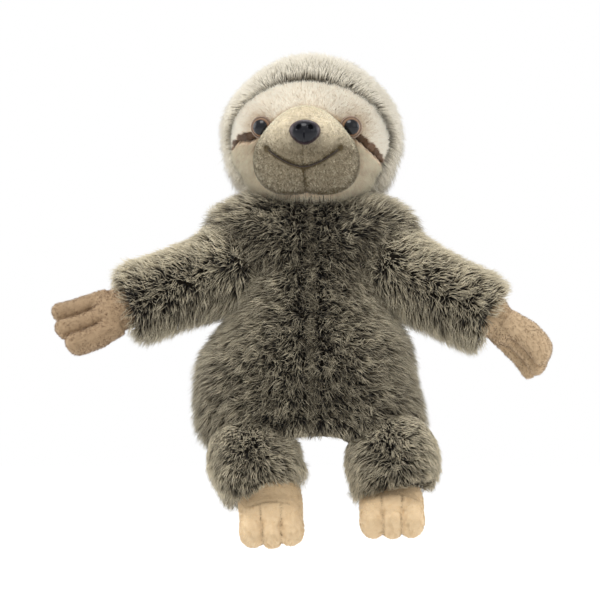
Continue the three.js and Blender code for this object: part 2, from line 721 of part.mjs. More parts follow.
function makeArm(parent, name, pivot, swing, handSwing) {
  const arm = childGroup(parent, pivot, new THREE.Euler(0, degrees(swing), 0));
  const end = -sleeveLength;
  const stations = [
    [end, cuffRadius, 0.86], [end * 0.8, cuffRadius + 1.5, 0.88], [end * 0.5, sleeveMidRadius, 0.92],
    [end * 0.2, sleeveMidRadius, 0.97],
  ];
  const stallEnd = end + hand.ball - hand.out + 3.5;
  const stallStations = (inset, lift) => [
    [stallEnd + lift, stallRadius - 3 - inset, 1], [stallEnd * 0.6, stallRadius - 1 - inset, 1],
    [0, stallRadius - inset, 1], [armMouth + 3, stallRadius + 1 - inset, 1],
  ];
  const stall = (inset, lift) => loft(stallStations(inset, lift)
    .map(([z, half]) => oval({ z, half }, stallSides)));
  const wristPivot = new THREE.Vector3(0, 0, end - hand.out);
  const cuffSocket = ball(hand.ball + turnGap, wristPivot, stuffingSides);
  const sleeve = limbForm(armRadius, stations, 0, armMouth).subtract(stall(0, 0)).subtract(cuffSocket);
  addPiece(arm, `sleeve_${name}`, sleeve, materials.bodyFur);
  const lining = stall(seamGap, seamGap).subtract(stall(seamGap + liningWall, seamGap + liningWall))
    .subtract(above(armMouth));
  addPiece(arm, `arm_lining_${name}`, lining, materials.lining);
  addPiece(arm, `armhole_tape_${name}`, seamTape(armRadius + turnGap, armTapeReach), materials.tape);
  const wrist = childGroup(arm, wristPivot, new THREE.Euler(0, degrees(handSwing), 0));
  makePaw(wrist, { cover: `hand_cover_${name}`, stuffing: `hand_stuffing_${name}` }, hand);
}

function makeLeg(parent, name, pivot, swing, pitch) {
  const leg = childGroup(parent, pivot, new THREE.Euler(0, degrees(swing), 0));
  const end = -legLength;
  const stations = (inset, drop) => [
    [end - drop, legCuffRadius, 0.95], [end * 0.7, legCuffRadius + 2.4, 0.98], [end * 0.35, legRadius - 0.8, 1],
  ].map(([z, size, flat]) => [z, size - inset, flat]);
  const form = (inset, mouth, drop = 0) => limbForm(legRadius, stations(inset, drop), 0, mouth);
  const inner = (inset) => loft([
    ...stations(inset, 1).map(([z, half, flat]) => oval({ z, half, front: half * flat }, stuffingSides)),
    ...[0, 0.35, 0.7, 0.95].map((share) => {
      const z = (legRadius - inset) * share;
      return oval({ z, half: Math.sqrt((legRadius - inset) ** 2 - z ** 2) }, stuffingSides);
    }),
  ]);
  const ankle = new THREE.Vector3(0, 0, end - foot.out);
  const cuffSocket = ball(foot.ball + turnGap, ankle, stuffingSides);
  const fur = form(0, legMouth).subtract(inner(legWall)).subtract(cuffSocket).subtract(above(legMouth - 0.01));
  addPiece(leg, `leg_fur_${name}`, fur, materials.bodyFur);
  const fill = inner(legWall + seamGap).subtract(cuffSocket).subtract(below(end + 0.01));
  addPiece(leg, `leg_stuffing_${name}`, fill, materials.stuffing);
  addPiece(leg, `hip_tape_${name}`, seamTape(legRadius + turnGap, hipTapeReach), materials.tape);
  const ankleGroup = childGroup(leg, ankle, new THREE.Euler(degrees(-pitch), 0, 0));
  makePaw(ankleGroup, { cover: `foot_cover_${name}`, stuffing: `foot_stuffing_${name}` }, foot);
}

const puppet = new THREE.Group();
makeBody(puppet);
const neckGroup = childGroup(puppet, neckPivot, new THREE.Euler());
makeNeck(neckGroup);
const headGroup = childGroup(puppet, neckPivot, new THREE.Euler(0, 0, degrees(headYaw)));
makeHead(headGroup);
makeArm(puppet, 'left', shoulders[0], 90 - leftArmDrop, 0);
makeArm(puppet, 'right', shoulders[1], rightArmDrop - 90, -rightHandBend);
makeLeg(puppet, 'left', hips[0], leftLegLean, leftFootPitch);
makeLeg(puppet, 'right', hips[1], rightLegLean, rightFootPitch);

export default puppet;
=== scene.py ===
"""Sews a sloth hand puppet round its frame: long body fur, hood, plush face, velour muzzle and paws.

Shapes are worked out in millimetres on the frame's own axes: +Z up, the face looks along -Y, and the
origin is the centre of the hand opening. They become metres when a mesh is made.
"""

import bpy
import numpy as np
from bpy.props import FloatProperty, FloatVectorProperty, IntProperty, PointerProperty
from bpy.types import Operator, Panel, PropertyGroup
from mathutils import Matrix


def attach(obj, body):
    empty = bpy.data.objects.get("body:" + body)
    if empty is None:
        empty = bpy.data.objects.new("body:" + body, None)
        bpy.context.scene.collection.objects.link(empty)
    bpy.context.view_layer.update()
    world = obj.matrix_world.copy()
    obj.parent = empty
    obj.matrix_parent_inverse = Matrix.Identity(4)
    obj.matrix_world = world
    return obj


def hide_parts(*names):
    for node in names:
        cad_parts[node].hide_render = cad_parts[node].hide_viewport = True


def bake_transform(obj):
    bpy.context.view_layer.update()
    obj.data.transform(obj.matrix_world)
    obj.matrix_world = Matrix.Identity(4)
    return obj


bl_info = {
    "name": "Sloth hand puppet",
    "version": (1, 0, 0),
    "blender": (4, 5, 0),
    "location": "3D View > Sidebar > Puppet",
    "description": "Fur, face, paws and lining of a sloth hand puppet",
    "category": "Add Mesh",
}

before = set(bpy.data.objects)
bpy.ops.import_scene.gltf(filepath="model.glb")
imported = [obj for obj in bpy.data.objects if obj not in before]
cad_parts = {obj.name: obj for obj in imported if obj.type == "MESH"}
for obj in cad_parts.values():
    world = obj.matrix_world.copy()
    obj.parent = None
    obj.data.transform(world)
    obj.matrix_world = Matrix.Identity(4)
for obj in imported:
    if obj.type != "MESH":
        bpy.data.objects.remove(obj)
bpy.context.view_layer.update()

MM = 0.001
FULL = 2 * np.pi

# The puppet's own sizes, as the frame has them.
AXIS_Y = -22.0
SQUARENESS = 2.3
NECK = np.array([0.0, AXIS_Y, 136.0])
NECK_BALL = 26.0
HEAD_RISE = 51.0
HEAD_HALF = np.array([50.0, 42.0, 42.0])
HEAD_BACK = 44.0
HEAD_SQUARENESS = 2.35
HEAD_YAW = -4.8
FACE_CENTRE = HEAD_RISE - 5
FACE_HALF = (46.0, 37.0)
MUZZLE_CENTRE = HEAD_RISE - 17
MUZZLE_HALF, MUZZLE_RISE, MUZZLE_DROP, MUZZLE_LENGTH = 31.0, 29.0, 21.0, 27.0
SMILE_HALF, SMILE_DROP, SMILE_LIFT = 21.5, 23.0, 10.6
EYE_SPACING, EYE_RISE, EYE_RADIUS, EYE_TOE_OUT = 53.0, 1.0, 6.0, 14.0
NOSE_WIDTH, NOSE_HEIGHT, NOSE_DEPTH, NOSE_RISE, NOSE_ASIDE = 18.5, 15.0, 8.0, -2.7, 1.6
ARM_BALL, LEG_BALL = 28.0, 25.0
SLEEVE_LENGTH, HAND_OUT = 67.0, 3.0
LEG_LENGTH, FOOT_OUT = 22.0, 6.0
MOUTH_HALF = (38.0, 16.0)
SHOULDERS = {"left": np.array([-46.0, -24.0, 105.0]), "right": np.array([46.0, -24.0, 105.0])}
HIPS = {"left": np.array([-39.0, -47.0, -6.0]), "right": np.array([45.0, -47.0, -6.0])}
ARM_SWING = {"left": 70.0, "right": -64.0}
HAND_SWING = {"left": 0.0, "right": 15.0}
LEG_SWING = {"left": -22.0, "right": -4.0}
FOOT_PITCH = {"left": -40.0, "right": -55.0}
HAND = {"ball": 13.0, "width": 33.0, "thickness": 20.0, "length": 44.0, "finger": 20.0, "curl": 5.0,
        "part": 1.95, "fat": 1.0, "heel": 1.0, "waist": 0.84, "spread": 0.05, "fold": -11.2}
FOOT = {"ball": 15.5, "width": 40.0, "thickness": 23.0, "length": 38.5, "finger": 3.0, "curl": 0.45,
        "part": 1.84, "fat": 0.9, "heel": 1.2, "waist": 0.95, "spread": -0.06, "fold": -13.0}
# How the stuffed paws hang in their cuffs: turned in the picture's plane, twisted about their length, moved
# across, and pitched, from the solid's place.
PAW_HANG = {
    ("hand", "left"): (-5.0, -30.0, 0.0, 0.0),
    ("hand", "right"): (-4.0, -64.0, 0.0, 0.0),
    ("foot", "left"): (19.0, 0.0, 4.0, 0.0),
    ("foot", "right"): (3.0, 0.0, 1.0, -7.0),
}
# The tone of each paw's velour, from the dark to the pale one: painted light and shade, darker where a paw
# lies in shade and paler where it is lit.
PAW_PAINTED_LIGHT = {("hand", "left"): 0.3, ("hand", "right"): 0.54, ("foot", "left"): 0.97, ("foot", "right"): 0.97}

# Height, half width, front reach and back reach of the body bag, from the seat to the neck.
BODY_STATIONS = np.array([
    (0, 57, 42, 50), (8, 64, 47, 50), (20, 66, 48, 50), (41, 60, 48, 49), (62, 50, 46, 46),
    (83.5, 43, 42, 41), (105, 43, 38, 37), (115.5, 53, 37, 37), (126, 62, 36, 36),
    (136, 56, 33, 33), (146, 36, 28, 28), (154, 28, 23, 23),
], float)
BAG_TOP = 154.0
# How far across the middle of the gap between the legs lies, and how far the legs' fur is moved across.
CROTCH, LEG_ASIDE = 4.0, 3.5
BODY_INSET, LINING_INSET, HOOD_INSET, FACE_INSET = 4.5, 12.0, 4.0, 4.0
BROW_HALF = 32.5
STRIPE_WIDTH = 4.9
FUR_BACKING, PLUSH_BACKING = 1.2, 2.0
TAPE_HALF, TAPE_THICK = 3.3, 1.1
BALL_LAP = 3
# How far the hood reaches in over the face's edge.
HOOD_LAP = 0.5
# How the muzzle's outline shrinks to its tip, how deep it sits in the face, and how far it turns up.
MUZZLE_POWER, MUZZLE_SEAT, MUZZLE_UPTURN = 2.5, 8, 9
FLOOR_LEVEL = -128
# The UV of one small patch of the map, where a piece's bare cloth lies.
PATCH = np.array([[0, 0], [0.01, 0], [0.01, 0.01], [0, 0.01]])
BARE = (0.5, 0.01)


def linear(code):
    """A colour written as six hex digits, as the linear numbers that shaders use."""
    parts = [int(code[k:k + 2], 16) / 255 for k in (0, 2, 4)]
    return tuple(c / 12.92 if c < 0.04045 else ((c + 0.055) / 1.055) ** 2.4 for c in parts)


def colour(label, code, words):
    return FloatVectorProperty(
        name=label, description=words, subtype="COLOR", size=3, min=0, max=1, default=linear(code),
    )


def length(label, millimetres, words):
    return FloatProperty(name=label, description=words, subtype="DISTANCE", default=millimetres * MM, min=0)


def count(label, number, words):
    return IntProperty(name=label, description=words, default=number, min=1)


class PuppetFur(PropertyGroup):
    body_pile: length("Body pile", 13.0, "How long the body's fur is")
    hood_pile: length("Hood pile", 13.5, "How long the hood's fur is")
    face_pile: length("Face pile", 3.6, "How long the plush of brow and stripes is")
    cheek_pile: length("Cheek pile", 6.5, "How long the plush of the cheeks is")
    velour_pile: length("Velour pile", 1.25, "How long the nap of muzzle and paws is")
    hair: length("Hair thickness", 0.52, "How thick a hair of body fur is at its root")
    nap: length("Nap thickness", 0.28, "How thick a hair of velour is at its root")
    lock: length("Lock spacing", 2.5, "How far apart the pointed locks of body fur stand")
    panel_hairs: count("Hairs per panel", 15200, "How many hairs a body panel has")
    limb_hairs: count("Hairs per limb", 14000, "How many hairs a sleeve or leg has")
    hood_hairs: count("Hairs per hood half", 14200, "How many hairs half of the hood has")
    nap_hairs: count("Hairs per paw", 10500, "How many short hairs a paw has")
    seat_hairs: count("Hairs on the seat", 6500, "How many hairs the seat has")
    brow_hairs: count("Hairs on the brow", 25000, "How many short hairs the brow has")
    stripe_hairs: count("Hairs per stripe", 2600, "How many short hairs an eye stripe has")
    cheek_hairs: count("Hairs per cheek", 10000, "How many short hairs a cheek has")
    muzzle_hairs: count("Hairs on the muzzle", 27000, "How many short hairs the muzzle has")


class PuppetColours(PropertyGroup):
    fur_root: colour("Fur root", "211A12", "Body fur where it leaves the cloth")
    fur_middle: colour("Fur middle", "7E7259", "Body fur half way up")
    fur_tip: colour("Fur tip", "EFE4C8", "Body fur at its frosted tips")
    hood_tip: colour("Hood tip", "F8F1E0", "Hood fur at its tips")
    brow: colour("Brow", "FFF1DE", "Cream plush above the eyes")
    brow_shade: colour("Brow shade", "B8945E", "Brow plush beside the eyes and muzzle")
    stripe: colour("Eye stripe", "7C6048", "Dark brown eye stripe")
    cheek: colour("Cheek", "FFE9CE", "Beige grey cheek plush")
    cheek_shade: colour("Cheek shade", "D0B492", "Cheek plush at its roots")
    muzzle: colour("Muzzle", "FCEED2", "Muzzle velour, upper part")
    # The muzzle's dark tone serves its speckle, and also the painted shade in its seams and along its rim.
    muzzle_low: colour("Muzzle below", "5C4C2A", "Dark speckle of the velour under the smile")
    # Hands and feet are one velour: its colour is set darker on the hands as painted shade, and paler on the
    # feet as painted light.
    hand: colour("Hand", "E0C6A2", "Velour of the hands")
    paw: colour("Foot", "FFE4BA", "Velour of the feet")
    # Paw shade is painted shade: in the creases between fingers and toes, towards the cuffs, and over the
    # darker hands.
    paw_shade: colour("Paw shade", "6E4A28", "Paw velour between fingers and toes")
    thread: colour("Thread", "30241C", "Embroidered smile and seams")
    nose: colour("Nose", "090B14", "Nose plastic")
    # The nose's rim colour is a painted reflection, paler and purple-brown towards its edge.
    nose_rim_reflection: colour("Nose edge", "3A2B33", "Nose plastic where it thins")
    pupil: colour("Pupil", "05070E", "Centre of the eye")
    iris: colour("Iris", "8A6A52", "Ring round the pupil")
    rim: colour("Eye rim", "94806F", "Lip of the eye")
    lining: colour("Lining", "4A443D", "Cloth inside the bag")
    binding: colour("Binding", "5A5148", "Seam tapes and the bound hem")
    washer: colour("Washer", "E8E8E4", "Locking washers")
    floor: colour("Floor", "F4F4F4", "The floor that the puppet stands over")


def rotation(axis, angle):
    """The matrix that turns points by angle degrees about one axis."""
    c, s = np.cos(np.radians(angle)), np.sin(np.radians(angle))
    i, j = {"x": (1, 2), "y": (2, 0), "z": (0, 1)}[axis]
    turn = np.eye(3)
    turn[i, i] = turn[j, j] = c
    turn[i, j], turn[j, i] = -s, s
    return turn


class Place:
    """Where a piece's own axes lie: a point is turned by the matrix and moved to the origin."""

    def __init__(self, origin, turn):
        self.origin, self.turn = np.asarray(origin, float), turn

    def points(self, p):
        return (p.reshape(-1, 3) @ self.turn.T + self.origin).reshape(p.shape)

    def local(self, p):
        return (p - self.origin) @ self.turn

    def child(self, origin, turn):
        return Place(self.points(np.asarray(origin, float)), self.turn @ turn)


HEAD = Place(NECK, rotation("z", HEAD_YAW))
HEAD_MIDDLE = HEAD.points(np.array([0, 0, HEAD_RISE]))
ARMS = {side: Place(SHOULDERS[side], rotation("y", ARM_SWING[side])) for side in SHOULDERS}
WRISTS = {
    side: arm.child((0, 0, -SLEEVE_LENGTH - HAND_OUT), rotation("y", HAND_SWING[side]))
    for side, arm in ARMS.items()
}
LEGS = {side: Place(HIPS[side], rotation("y", LEG_SWING[side])) for side in HIPS}
ANKLES = {
    side: leg.child((0, 0, -LEG_LENGTH - FOOT_OUT), rotation("x", FOOT_PITCH[side]))
    for side, leg in LEGS.items()
}


def unit(v):
    return v / np.maximum(np.linalg.norm(v, axis=-1, keepdims=True), 1e-9)


def through(knots, values, at):
    """A smooth curve through the values: cubic pieces whose slope at a knot is that of its neighbours."""
    slope = np.gradient(values, knots)
    at = np.clip(at, knots[0], knots[-1])
    k = np.clip(np.searchsorted(knots, at) - 1, 0, len(knots) - 2)
    wide = knots[k + 1] - knots[k]
    t = (at - knots[k]) / wide
    return (
        values[k] * (1 + 2 * t) * (1 - t) ** 2 + values[k + 1] * t * t * (3 - 2 * t)
        + wide * (slope[k] * t * (1 - t) ** 2 - slope[k + 1] * t * t * (1 - t))
    )


def around(number):
    """Angles at even steps round a ring."""
    return np.linspace(0, FULL, number, endpoint=False)


def curves(stations, steps):
    """Each column of the stations as a smooth curve of some number of steps."""
    stations = np.array(stations, float)
    at = np.linspace(0, len(stations) - 1, steps)
    return [through(np.arange(len(stations)), column, at)[:, None] for column in stations.T]


def rings(angle, across, deep, z, x=0.0, y=0.0):
    """Ellipses about the Z axis, one at each height, whose middles may lie aside."""
    return np.stack([x + across * np.cos(angle), y + deep * np.sin(angle), z + 0 * angle], -1)


def share(value):
    """The value, held between 0 and 1."""
    return np.clip(value, 0, 1)


def bell(away, width):
    """1 where away is 0, falling off to both sides over the width."""
    return np.exp(-(away / width) ** 2)


def superellipse(angle, half, front, back, power):
    """Across and depth of a ring: |x/half|^p + |y/reach|^p = 1, with its own reach to front and back."""
    c, s = np.cos(angle), np.sin(angle)
    reach = (np.abs(c) ** power + np.abs(s) ** power) ** (-1 / power)
    return half * c * reach, np.where(s < 0, front, back) * s * reach


def drift(p, size, seed):
    """A smooth field of vectors: for each axis, a sum of four sine waves about size millimetres long."""
    rng = np.random.default_rng(seed)
    field = np.zeros_like(p)
    for _ in range(4):
        wave = rng.normal(0, 1, (3, 3)) * FULL / size * 0.6
        field += np.sin(p @ wave + rng.uniform(0, FULL, 3))
    return field / 2


class Cloth:
    """Gathers the surfaces and hairs of one piece, in millimetres. Where it has hair, its UV map holds tone
    across and height up the hair, and its plain surfaces lie on one small patch of that map."""

    def __init__(self):
        self.places, self.corners, self.sizes, self.uvs = [], [], [], []
        self.total, self.hairy = 0, False

    def points(self, places):
        """Adds points and returns the number of the first."""
        self.places.append(places)
        self.total += len(places)
        return self.total - len(places)

    def faces(self, corners, uv):
        """Adds faces of one corner count, given the numbers of their corners and the UV of each."""
        self.corners.append(corners.ravel())
        self.sizes.append(np.full(len(corners), corners.shape[1]))
        self.uvs.append(np.broadcast_to(uv, (*corners.shape, 2)).reshape(-1, 2))

    def surface(self, grid, closed=False, wrap=True, ground=BARE):
        """Adds a grid of points as quads. Where it is closed, each end gets a fan to its ring's middle.
        ground is the UV of the bare cloth, one for all or one for each quad."""
        rows, across = grid.shape[:2]
        first = self.points(grid.reshape(-1, 3))
        self.faces(first + quads_of(rows, across, wrap), PATCH + np.array(ground))
        patch = PATCH + np.reshape(ground, (-1, 2))[-1]
        for row, order in ((0, 1), (rows - 1, -1)) if closed else ():
            middle = self.points(grid[row].mean(0)[None])
            k = np.arange(across)
            ring = first + row * across
            tris = np.stack([ring + (k + 1) % across, ring + k, 0 * k + middle], 1)
            self.faces(tris[:, ::order], patch[:3])

    def wall(self, grid, thick, wrap=False, ground=BARE):
        """Adds a grid as cloth of some thickness: the grid, its copy moved in along the normals, and a strip
        round each edge."""
        rows, across = grid.shape[:2]
        skin = Skin.of_grid(grid, wrap)
        first = self.points(np.vstack([skin.places, skin.places - skin.normals * thick]))
        number, patch = rows * across, PATCH + np.array(ground)
        quads = quads_of(rows, across, wrap)
        self.faces(first + quads, patch)
        self.faces(first + number + quads[:, ::-1], patch)
        low, high = np.arange(across), np.arange(across) + (rows - 1) * across
        if wrap:
            loops = [np.append(low, low[:1]), np.append(high, high[:1])[::-1]]
        else:
            up = np.arange(rows) * across
            loops = [np.concatenate([low, up[1:] + across - 1, high[-2::-1], up[-2::-1]])]
        for loop in loops:
            a, b = loop[:-1], loop[1:]
            self.faces(first + np.stack([b, a, a + number, b + number], 1), patch)

    def piece(self, name, material=None):
        """Makes the mesh in metres, smooth, with its object at the origin."""
        mesh = bpy.data.meshes.new(name)
        places, corners = np.vstack(self.places) * MM, np.concatenate(self.corners)
        sizes, uv = np.concatenate(self.sizes), np.vstack(self.uvs)
        mesh.vertices.add(len(places))
        mesh.vertices.foreach_set("co", places.astype(np.float32).ravel())
        mesh.loops.add(len(corners))
        mesh.loops.foreach_set("vertex_index", corners.astype(np.int32))
        mesh.polygons.add(len(sizes))
        starts = np.concatenate([[0], np.cumsum(sizes)[:-1]])
        mesh.polygons.foreach_set("loop_start", starts.astype(np.int32))
        mesh.polygons.foreach_set("use_smooth", np.ones(len(sizes), bool))
        if self.hairy:
            mesh.uv_layers.new(name="OFBake").uv.foreach_set("vector", uv.astype(np.float32).ravel())
        mesh.update(calc_edges=True)
        mesh.validate()
        if material:
            mesh.materials.append(material)
        made = bpy.data.objects.new(name, mesh)
        bpy.context.scene.collection.objects.link(made)
        return made


def surfaced(name, material, grid, closed=False, wrap=True):
    """A piece of one surface."""
    cloth = Cloth()
    cloth.surface(grid, closed, wrap)
    return cloth.piece(name, material)


def quads_of(rows, across, wrap):
    """Corner numbers of a grid's cells, anticlockwise where rows go up and columns go to the right."""
    r, s = np.meshgrid(np.arange(rows - 1), np.arange(across if wrap else across - 1), indexing="ij")
    after = (s + 1) % across
    return np.stack([
        r * across + s, r * across + after, (r + 1) * across + after, (r + 1) * across + s,
    ], -1).reshape(-1, 4)


def facing_out(grid, middle, wrap=False):
    """The grid with its columns turned round if its faces look towards the middle."""
    skin = Skin.of_grid(grid, wrap)
    return grid if (skin.normals * (skin.places - middle)).sum() > 0 else grid[:, ::-1]


class Skin:
    """Triangles that hair grows on: their corners and the normals there."""

    def __init__(self, places, triangles):
        self.places, self.triangles = places, triangles
        a, b, c = (places[triangles[:, k]] for k in range(3))
        across = np.cross(b - a, c - a)
        self.area = np.linalg.norm(across, axis=1) / 2
        normals = np.zeros_like(places)
        for k in range(3):
            np.add.at(normals, triangles[:, k], across)
        self.normals = unit(normals)

    @classmethod
    def of_grid(cls, grid, wrap=False):
        quads = quads_of(*grid.shape[:2], wrap)
        return cls(grid.reshape(-1, 3), np.vstack([quads[:, [0, 1, 2]], quads[:, [0, 2, 3]]]))

    @classmethod
    def of_mesh(cls, mesh):
        mesh.calc_loop_triangles()
        places = np.empty(len(mesh.vertices) * 3)
        mesh.vertices.foreach_get("co", places)
        triangles = np.empty(len(mesh.loop_triangles) * 3, np.int32)
        mesh.loop_triangles.foreach_get("vertices", triangles)
        return cls(places.reshape(-1, 3) / MM, triangles.reshape(-1, 3))

    def scatter(self, number, rng, wanted=None):
        """Random points spread evenly over the skin, its normal at each, and how many stand on a square
        millimetre. wanted says which to keep."""
        chance = self.area / self.area.sum()
        pick = self.triangles[rng.choice(len(chance), number, p=chance)]
        a, b = rng.uniform(0, 1, (2, number, 1))
        a, b = np.where(a + b > 1, 1 - a, a), np.where(a + b > 1, 1 - b, b)
        weight = (1 - a - b, a, b)
        places = sum(w * self.places[pick[:, k]] for k, w in enumerate(weight))
        normals = unit(sum(w * self.normals[pick[:, k]] for k, w in enumerate(weight)))
        if wanted is not None:
            keep = wanted(places)
            places, normals = places[keep], normals[keep]
        return places, normals, number / self.area.sum()


def nearest(points, centres):
    """The number of the centre that each point lies nearest to, a few thousand points at a time."""
    square = (centres ** 2).sum(1)
    parts = np.array_split(points, 1 + len(points) // 3000)
    return np.concatenate([(square - 2 * part @ centres.T).argmin(1) for part in parts])


def grow(cloth, rng, roots, normals, comb, pile, density, lean, thick, spacing, tone, gather=0.6, vary=0.22,
         droop=0.1, wobble=0.45, ruffle=1.0, straight=False):
    """Adds hairs. Each is a thin spike of three sides, straight or with a bend in the middle: from its root
    it leans from the normal towards the comb direction, and its tip is drawn to that of the nearest lock."""
    number = len(roots)
    along = comb + wobble * drift(roots, 26, 5) + 0.35 * wobble * drift(roots, 9, 6)
    along = unit(along - (along * normals).sum(1, keepdims=True) * normals)
    aside = np.cross(normals, along)

    def pointing(n, d, b, tilt, turn):
        tilt, turn = np.radians(tilt)[:, None], np.radians(turn)[:, None]
        return n * np.cos(tilt) + np.sin(tilt) * (d * np.cos(turn) + b * np.sin(turn))

    pile = np.broadcast_to(pile, number) * rng.uniform(0.78, 1.14, number)
    lean, ruffle = np.broadcast_to(lean, number), np.broadcast_to(ruffle, number)
    own_lean = lean + rng.normal(0, 10 * ruffle, number)
    own_turn = rng.normal(0, 26 * ruffle, number)
    middle = roots + pointing(normals, along, aside, own_lean * 0.5, own_turn) * pile[:, None] * 0.5
    tips = middle + pointing(normals, along, aside, own_lean * 1.1, own_turn) * pile[:, None] * 0.54
    chosen = rng.choice(number, int(np.clip(number / density / spacing ** 2, 3, number)), replace=False)
    lock = nearest(roots, roots[chosen])
    lock_way = pointing(
        normals[chosen], along[chosen], aside[chosen],
        lean[chosen] + rng.normal(0, 13 * ruffle[chosen]), rng.normal(0, 28 * ruffle[chosen]),
    )
    lock_tip = roots[chosen] + lock_way * (pile[chosen] * rng.uniform(0.88, 1.1, len(chosen)))[:, None]
    pull = gather * rng.uniform(0.3, 1.0, (number, 1))
    offset = roots - roots[chosen][lock]
    tips = tips * (1 - pull) + (lock_tip[lock] + offset * 0.3) * pull
    middle = middle * (1 - 0.3 * pull) + ((lock_tip + roots[chosen])[lock] / 2 + offset * 0.75) * 0.3 * pull
    tips[:, 2] -= droop * pile
    middle[:, 2] -= droop * pile * 0.25
    shade = tone + vary * (rng.normal(0, 0.55, len(chosen))[lock] + 0.12 * drift(roots, 17, 7)[:, 0])
    shade = np.clip(shade + rng.normal(0, vary * 0.45, number), 0.02, 0.98)
    spikes(cloth, rng, roots, None if straight else middle, tips, np.broadcast_to(thick, number), shade)


def spikes(cloth, rng, roots, middle, tips, thick, tone):
    """The hairs' surfaces: a ring of three points at the root, another at the bend if there is one, and a
    tip, closed below. The UV holds tone and height."""
    cloth.hairy = True
    number = len(roots)
    way = unit(tips - roots)
    one = unit(np.cross(way, rng.normal(0, 1, (number, 3))))
    two = np.cross(way, one)
    radius = (thick / 2 * rng.uniform(0.75, 1.2, number))[:, None]
    bends = [(roots - way * 0.3, 1.0)] if middle is None else [(roots - way * 0.4, 1.0), (middle, 0.85)]
    corners = [
        centre + radius * size * (one * np.cos(turn) + two * np.sin(turn))
        for centre, size in bends for turn in (0, FULL / 3, 2 * FULL / 3)
    ]
    top = len(corners)
    first = cloth.points(np.stack([*corners, tips], 1).reshape(-1, 3))
    base = first + (top + 1) * np.arange(number)[:, None]
    width, high = 0.001, 0 if middle is None else 0.5

    def laid(across, up):
        up = np.broadcast_to(up, (number, len(up)))
        return np.stack([tone[:, None] + width * np.array(across), up], -1)

    for k, (a, b) in enumerate(((0, 1), (1, 2), (2, 0))):
        start, end = k - 1, k
        if middle is not None:
            cloth.faces(base + [a, b, b + 3, a + 3], laid([start, end, end, start], [0, 0, 0.5, 0.5]))
        side = base + [a + top - 3, b + top - 3, top]
        cloth.faces(side, laid([start, end, start + 0.5], [high, high, 1]))
    cloth.faces(base + [2, 1, 0], laid([0, 1, 0.5], [0, 0, 0.01]))


# Shader nodes.

class Signal:
    """One output of a shader node. Arithmetic on it adds Math nodes."""

    def __init__(self, recipe, output):
        self.recipe, self.output = recipe, output

    def maths(self, operation, *values):
        return self.recipe.maths(operation, *values)

    def __add__(self, other):
        return self.maths("ADD", self, other)

    def __sub__(self, other):
        return self.maths("SUBTRACT", self, other)

    def __rsub__(self, other):
        return self.maths("SUBTRACT", other, self)

    def __mul__(self, other):
        return self.maths("MULTIPLY", self, other)

    def __pow__(self, other):
        return self.maths("POWER", self, other)

    __radd__, __rmul__ = __add__, __mul__

    def clamped(self):
        return self.maths("MINIMUM", self.maths("MAXIMUM", self, 0.0), 1.0)

    def pick(self, name):
        return Signal(self.recipe, self.output.node.outputs[name])


class Recipe:
    """A material, or the world, and its nodes."""

    def __init__(self, name, store=bpy.data.materials):
        self.owner = store.new(name)
        self.owner.use_nodes = True
        self.tree = self.owner.node_tree
        self.tree.nodes.clear()

    def node(self, kind, settings=None, inputs=None, output=0):
        """Adds a node: its settings first, a ramp's stops among them, then its inputs by name or number."""
        made = self.tree.nodes.new(kind)
        for key, value in (settings or {}).items():
            if key == "stops":
                ramp = made.color_ramp
                while len(ramp.elements) < len(value):
                    ramp.elements.new(0.5)
                for element, (at, shade) in zip(ramp.elements, value):
                    element.position, element.color = at, (*tuple(shade)[:3], 1)
            else:
                setattr(made, key, value)
        for key, value in (inputs or {}).items():
            if isinstance(value, Signal):
                self.tree.links.new(value.output, made.inputs[key])
            elif hasattr(made.inputs[key].default_value, "__len__") and len(value) == 3:
                size = len(made.inputs[key].default_value)
                made.inputs[key].default_value = (*value, 1)[:size]
            else:
                made.inputs[key].default_value = value
        return Signal(self, made.outputs[output])

    def maths(self, operation, *values):
        return self.node("ShaderNodeMath", {"operation": operation}, dict(enumerate(values)))

    def vector(self, operation, one, other=(0.0, 0.0, 0.0), output=0):
        return self.node("ShaderNodeVectorMath", {"operation": operation}, {0: one, 1: other}, output)

    def spot(self):
        return self.node("ShaderNodeTexCoord", output="Object")

    def spot_from(self, middle):
        """Where the shaded point lies from a point given in millimetres."""
        return self.vector("SUBTRACT", self.spot(), tuple(middle * MM))

    def noise(self, scale):
        return self.node("ShaderNodeTexNoise", inputs={"Vector": self.spot(), "Scale": scale})

    def mix(self, one, other, factor):
        """A colour between two, by a factor from 0 to 1."""
        return self.node("ShaderNodeMix", {"data_type": "RGBA"}, {0: factor, 6: one, 7: other}, output=2)

    def ramp(self, value, *stops):
        return self.node("ShaderNodeValToRGB", {"stops": stops}, {0: value})

    def bump(self, height, distance, strength):
        inputs = {"Height": height, "Distance": distance, "Strength": strength}
        return self.node("ShaderNodeBump", inputs=inputs)

    def seen(self):
        """1 where the eye looks straight, in a mirror or through glass, and 0 for light that bounces."""
        path = self.node("ShaderNodeLightPath")
        rays = [path.pick(f"Is {kind} Ray") for kind in ("Camera", "Glossy", "Transmission")]
        return (rays[0] + rays[1] + rays[2]).clamped()

    def finish(self, shade, **inputs):
        """Ends with a Principled shader. An underscore in a name stands for a space."""
        named = {key.replace("_", " "): value for key, value in inputs.items()}
        return self.end(self.node("ShaderNodeBsdfPrincipled", inputs={"Base Color": shade, **named}))

    def end(self, shader, kind="ShaderNodeOutputMaterial"):
        self.tree.links.new(shader.output, self.tree.nodes.new(kind).inputs["Surface"])
        return self.owner


def toned(shade, factor):
    """A colour made lighter or darker by a factor."""
    return tuple(min(c * factor, 1.0) for c in tuple(shade)[:3])


def between(one, other, part):
    return tuple(a + (b - a) * part for a, b in zip(tuple(one)[:3], tuple(other)[:3]))


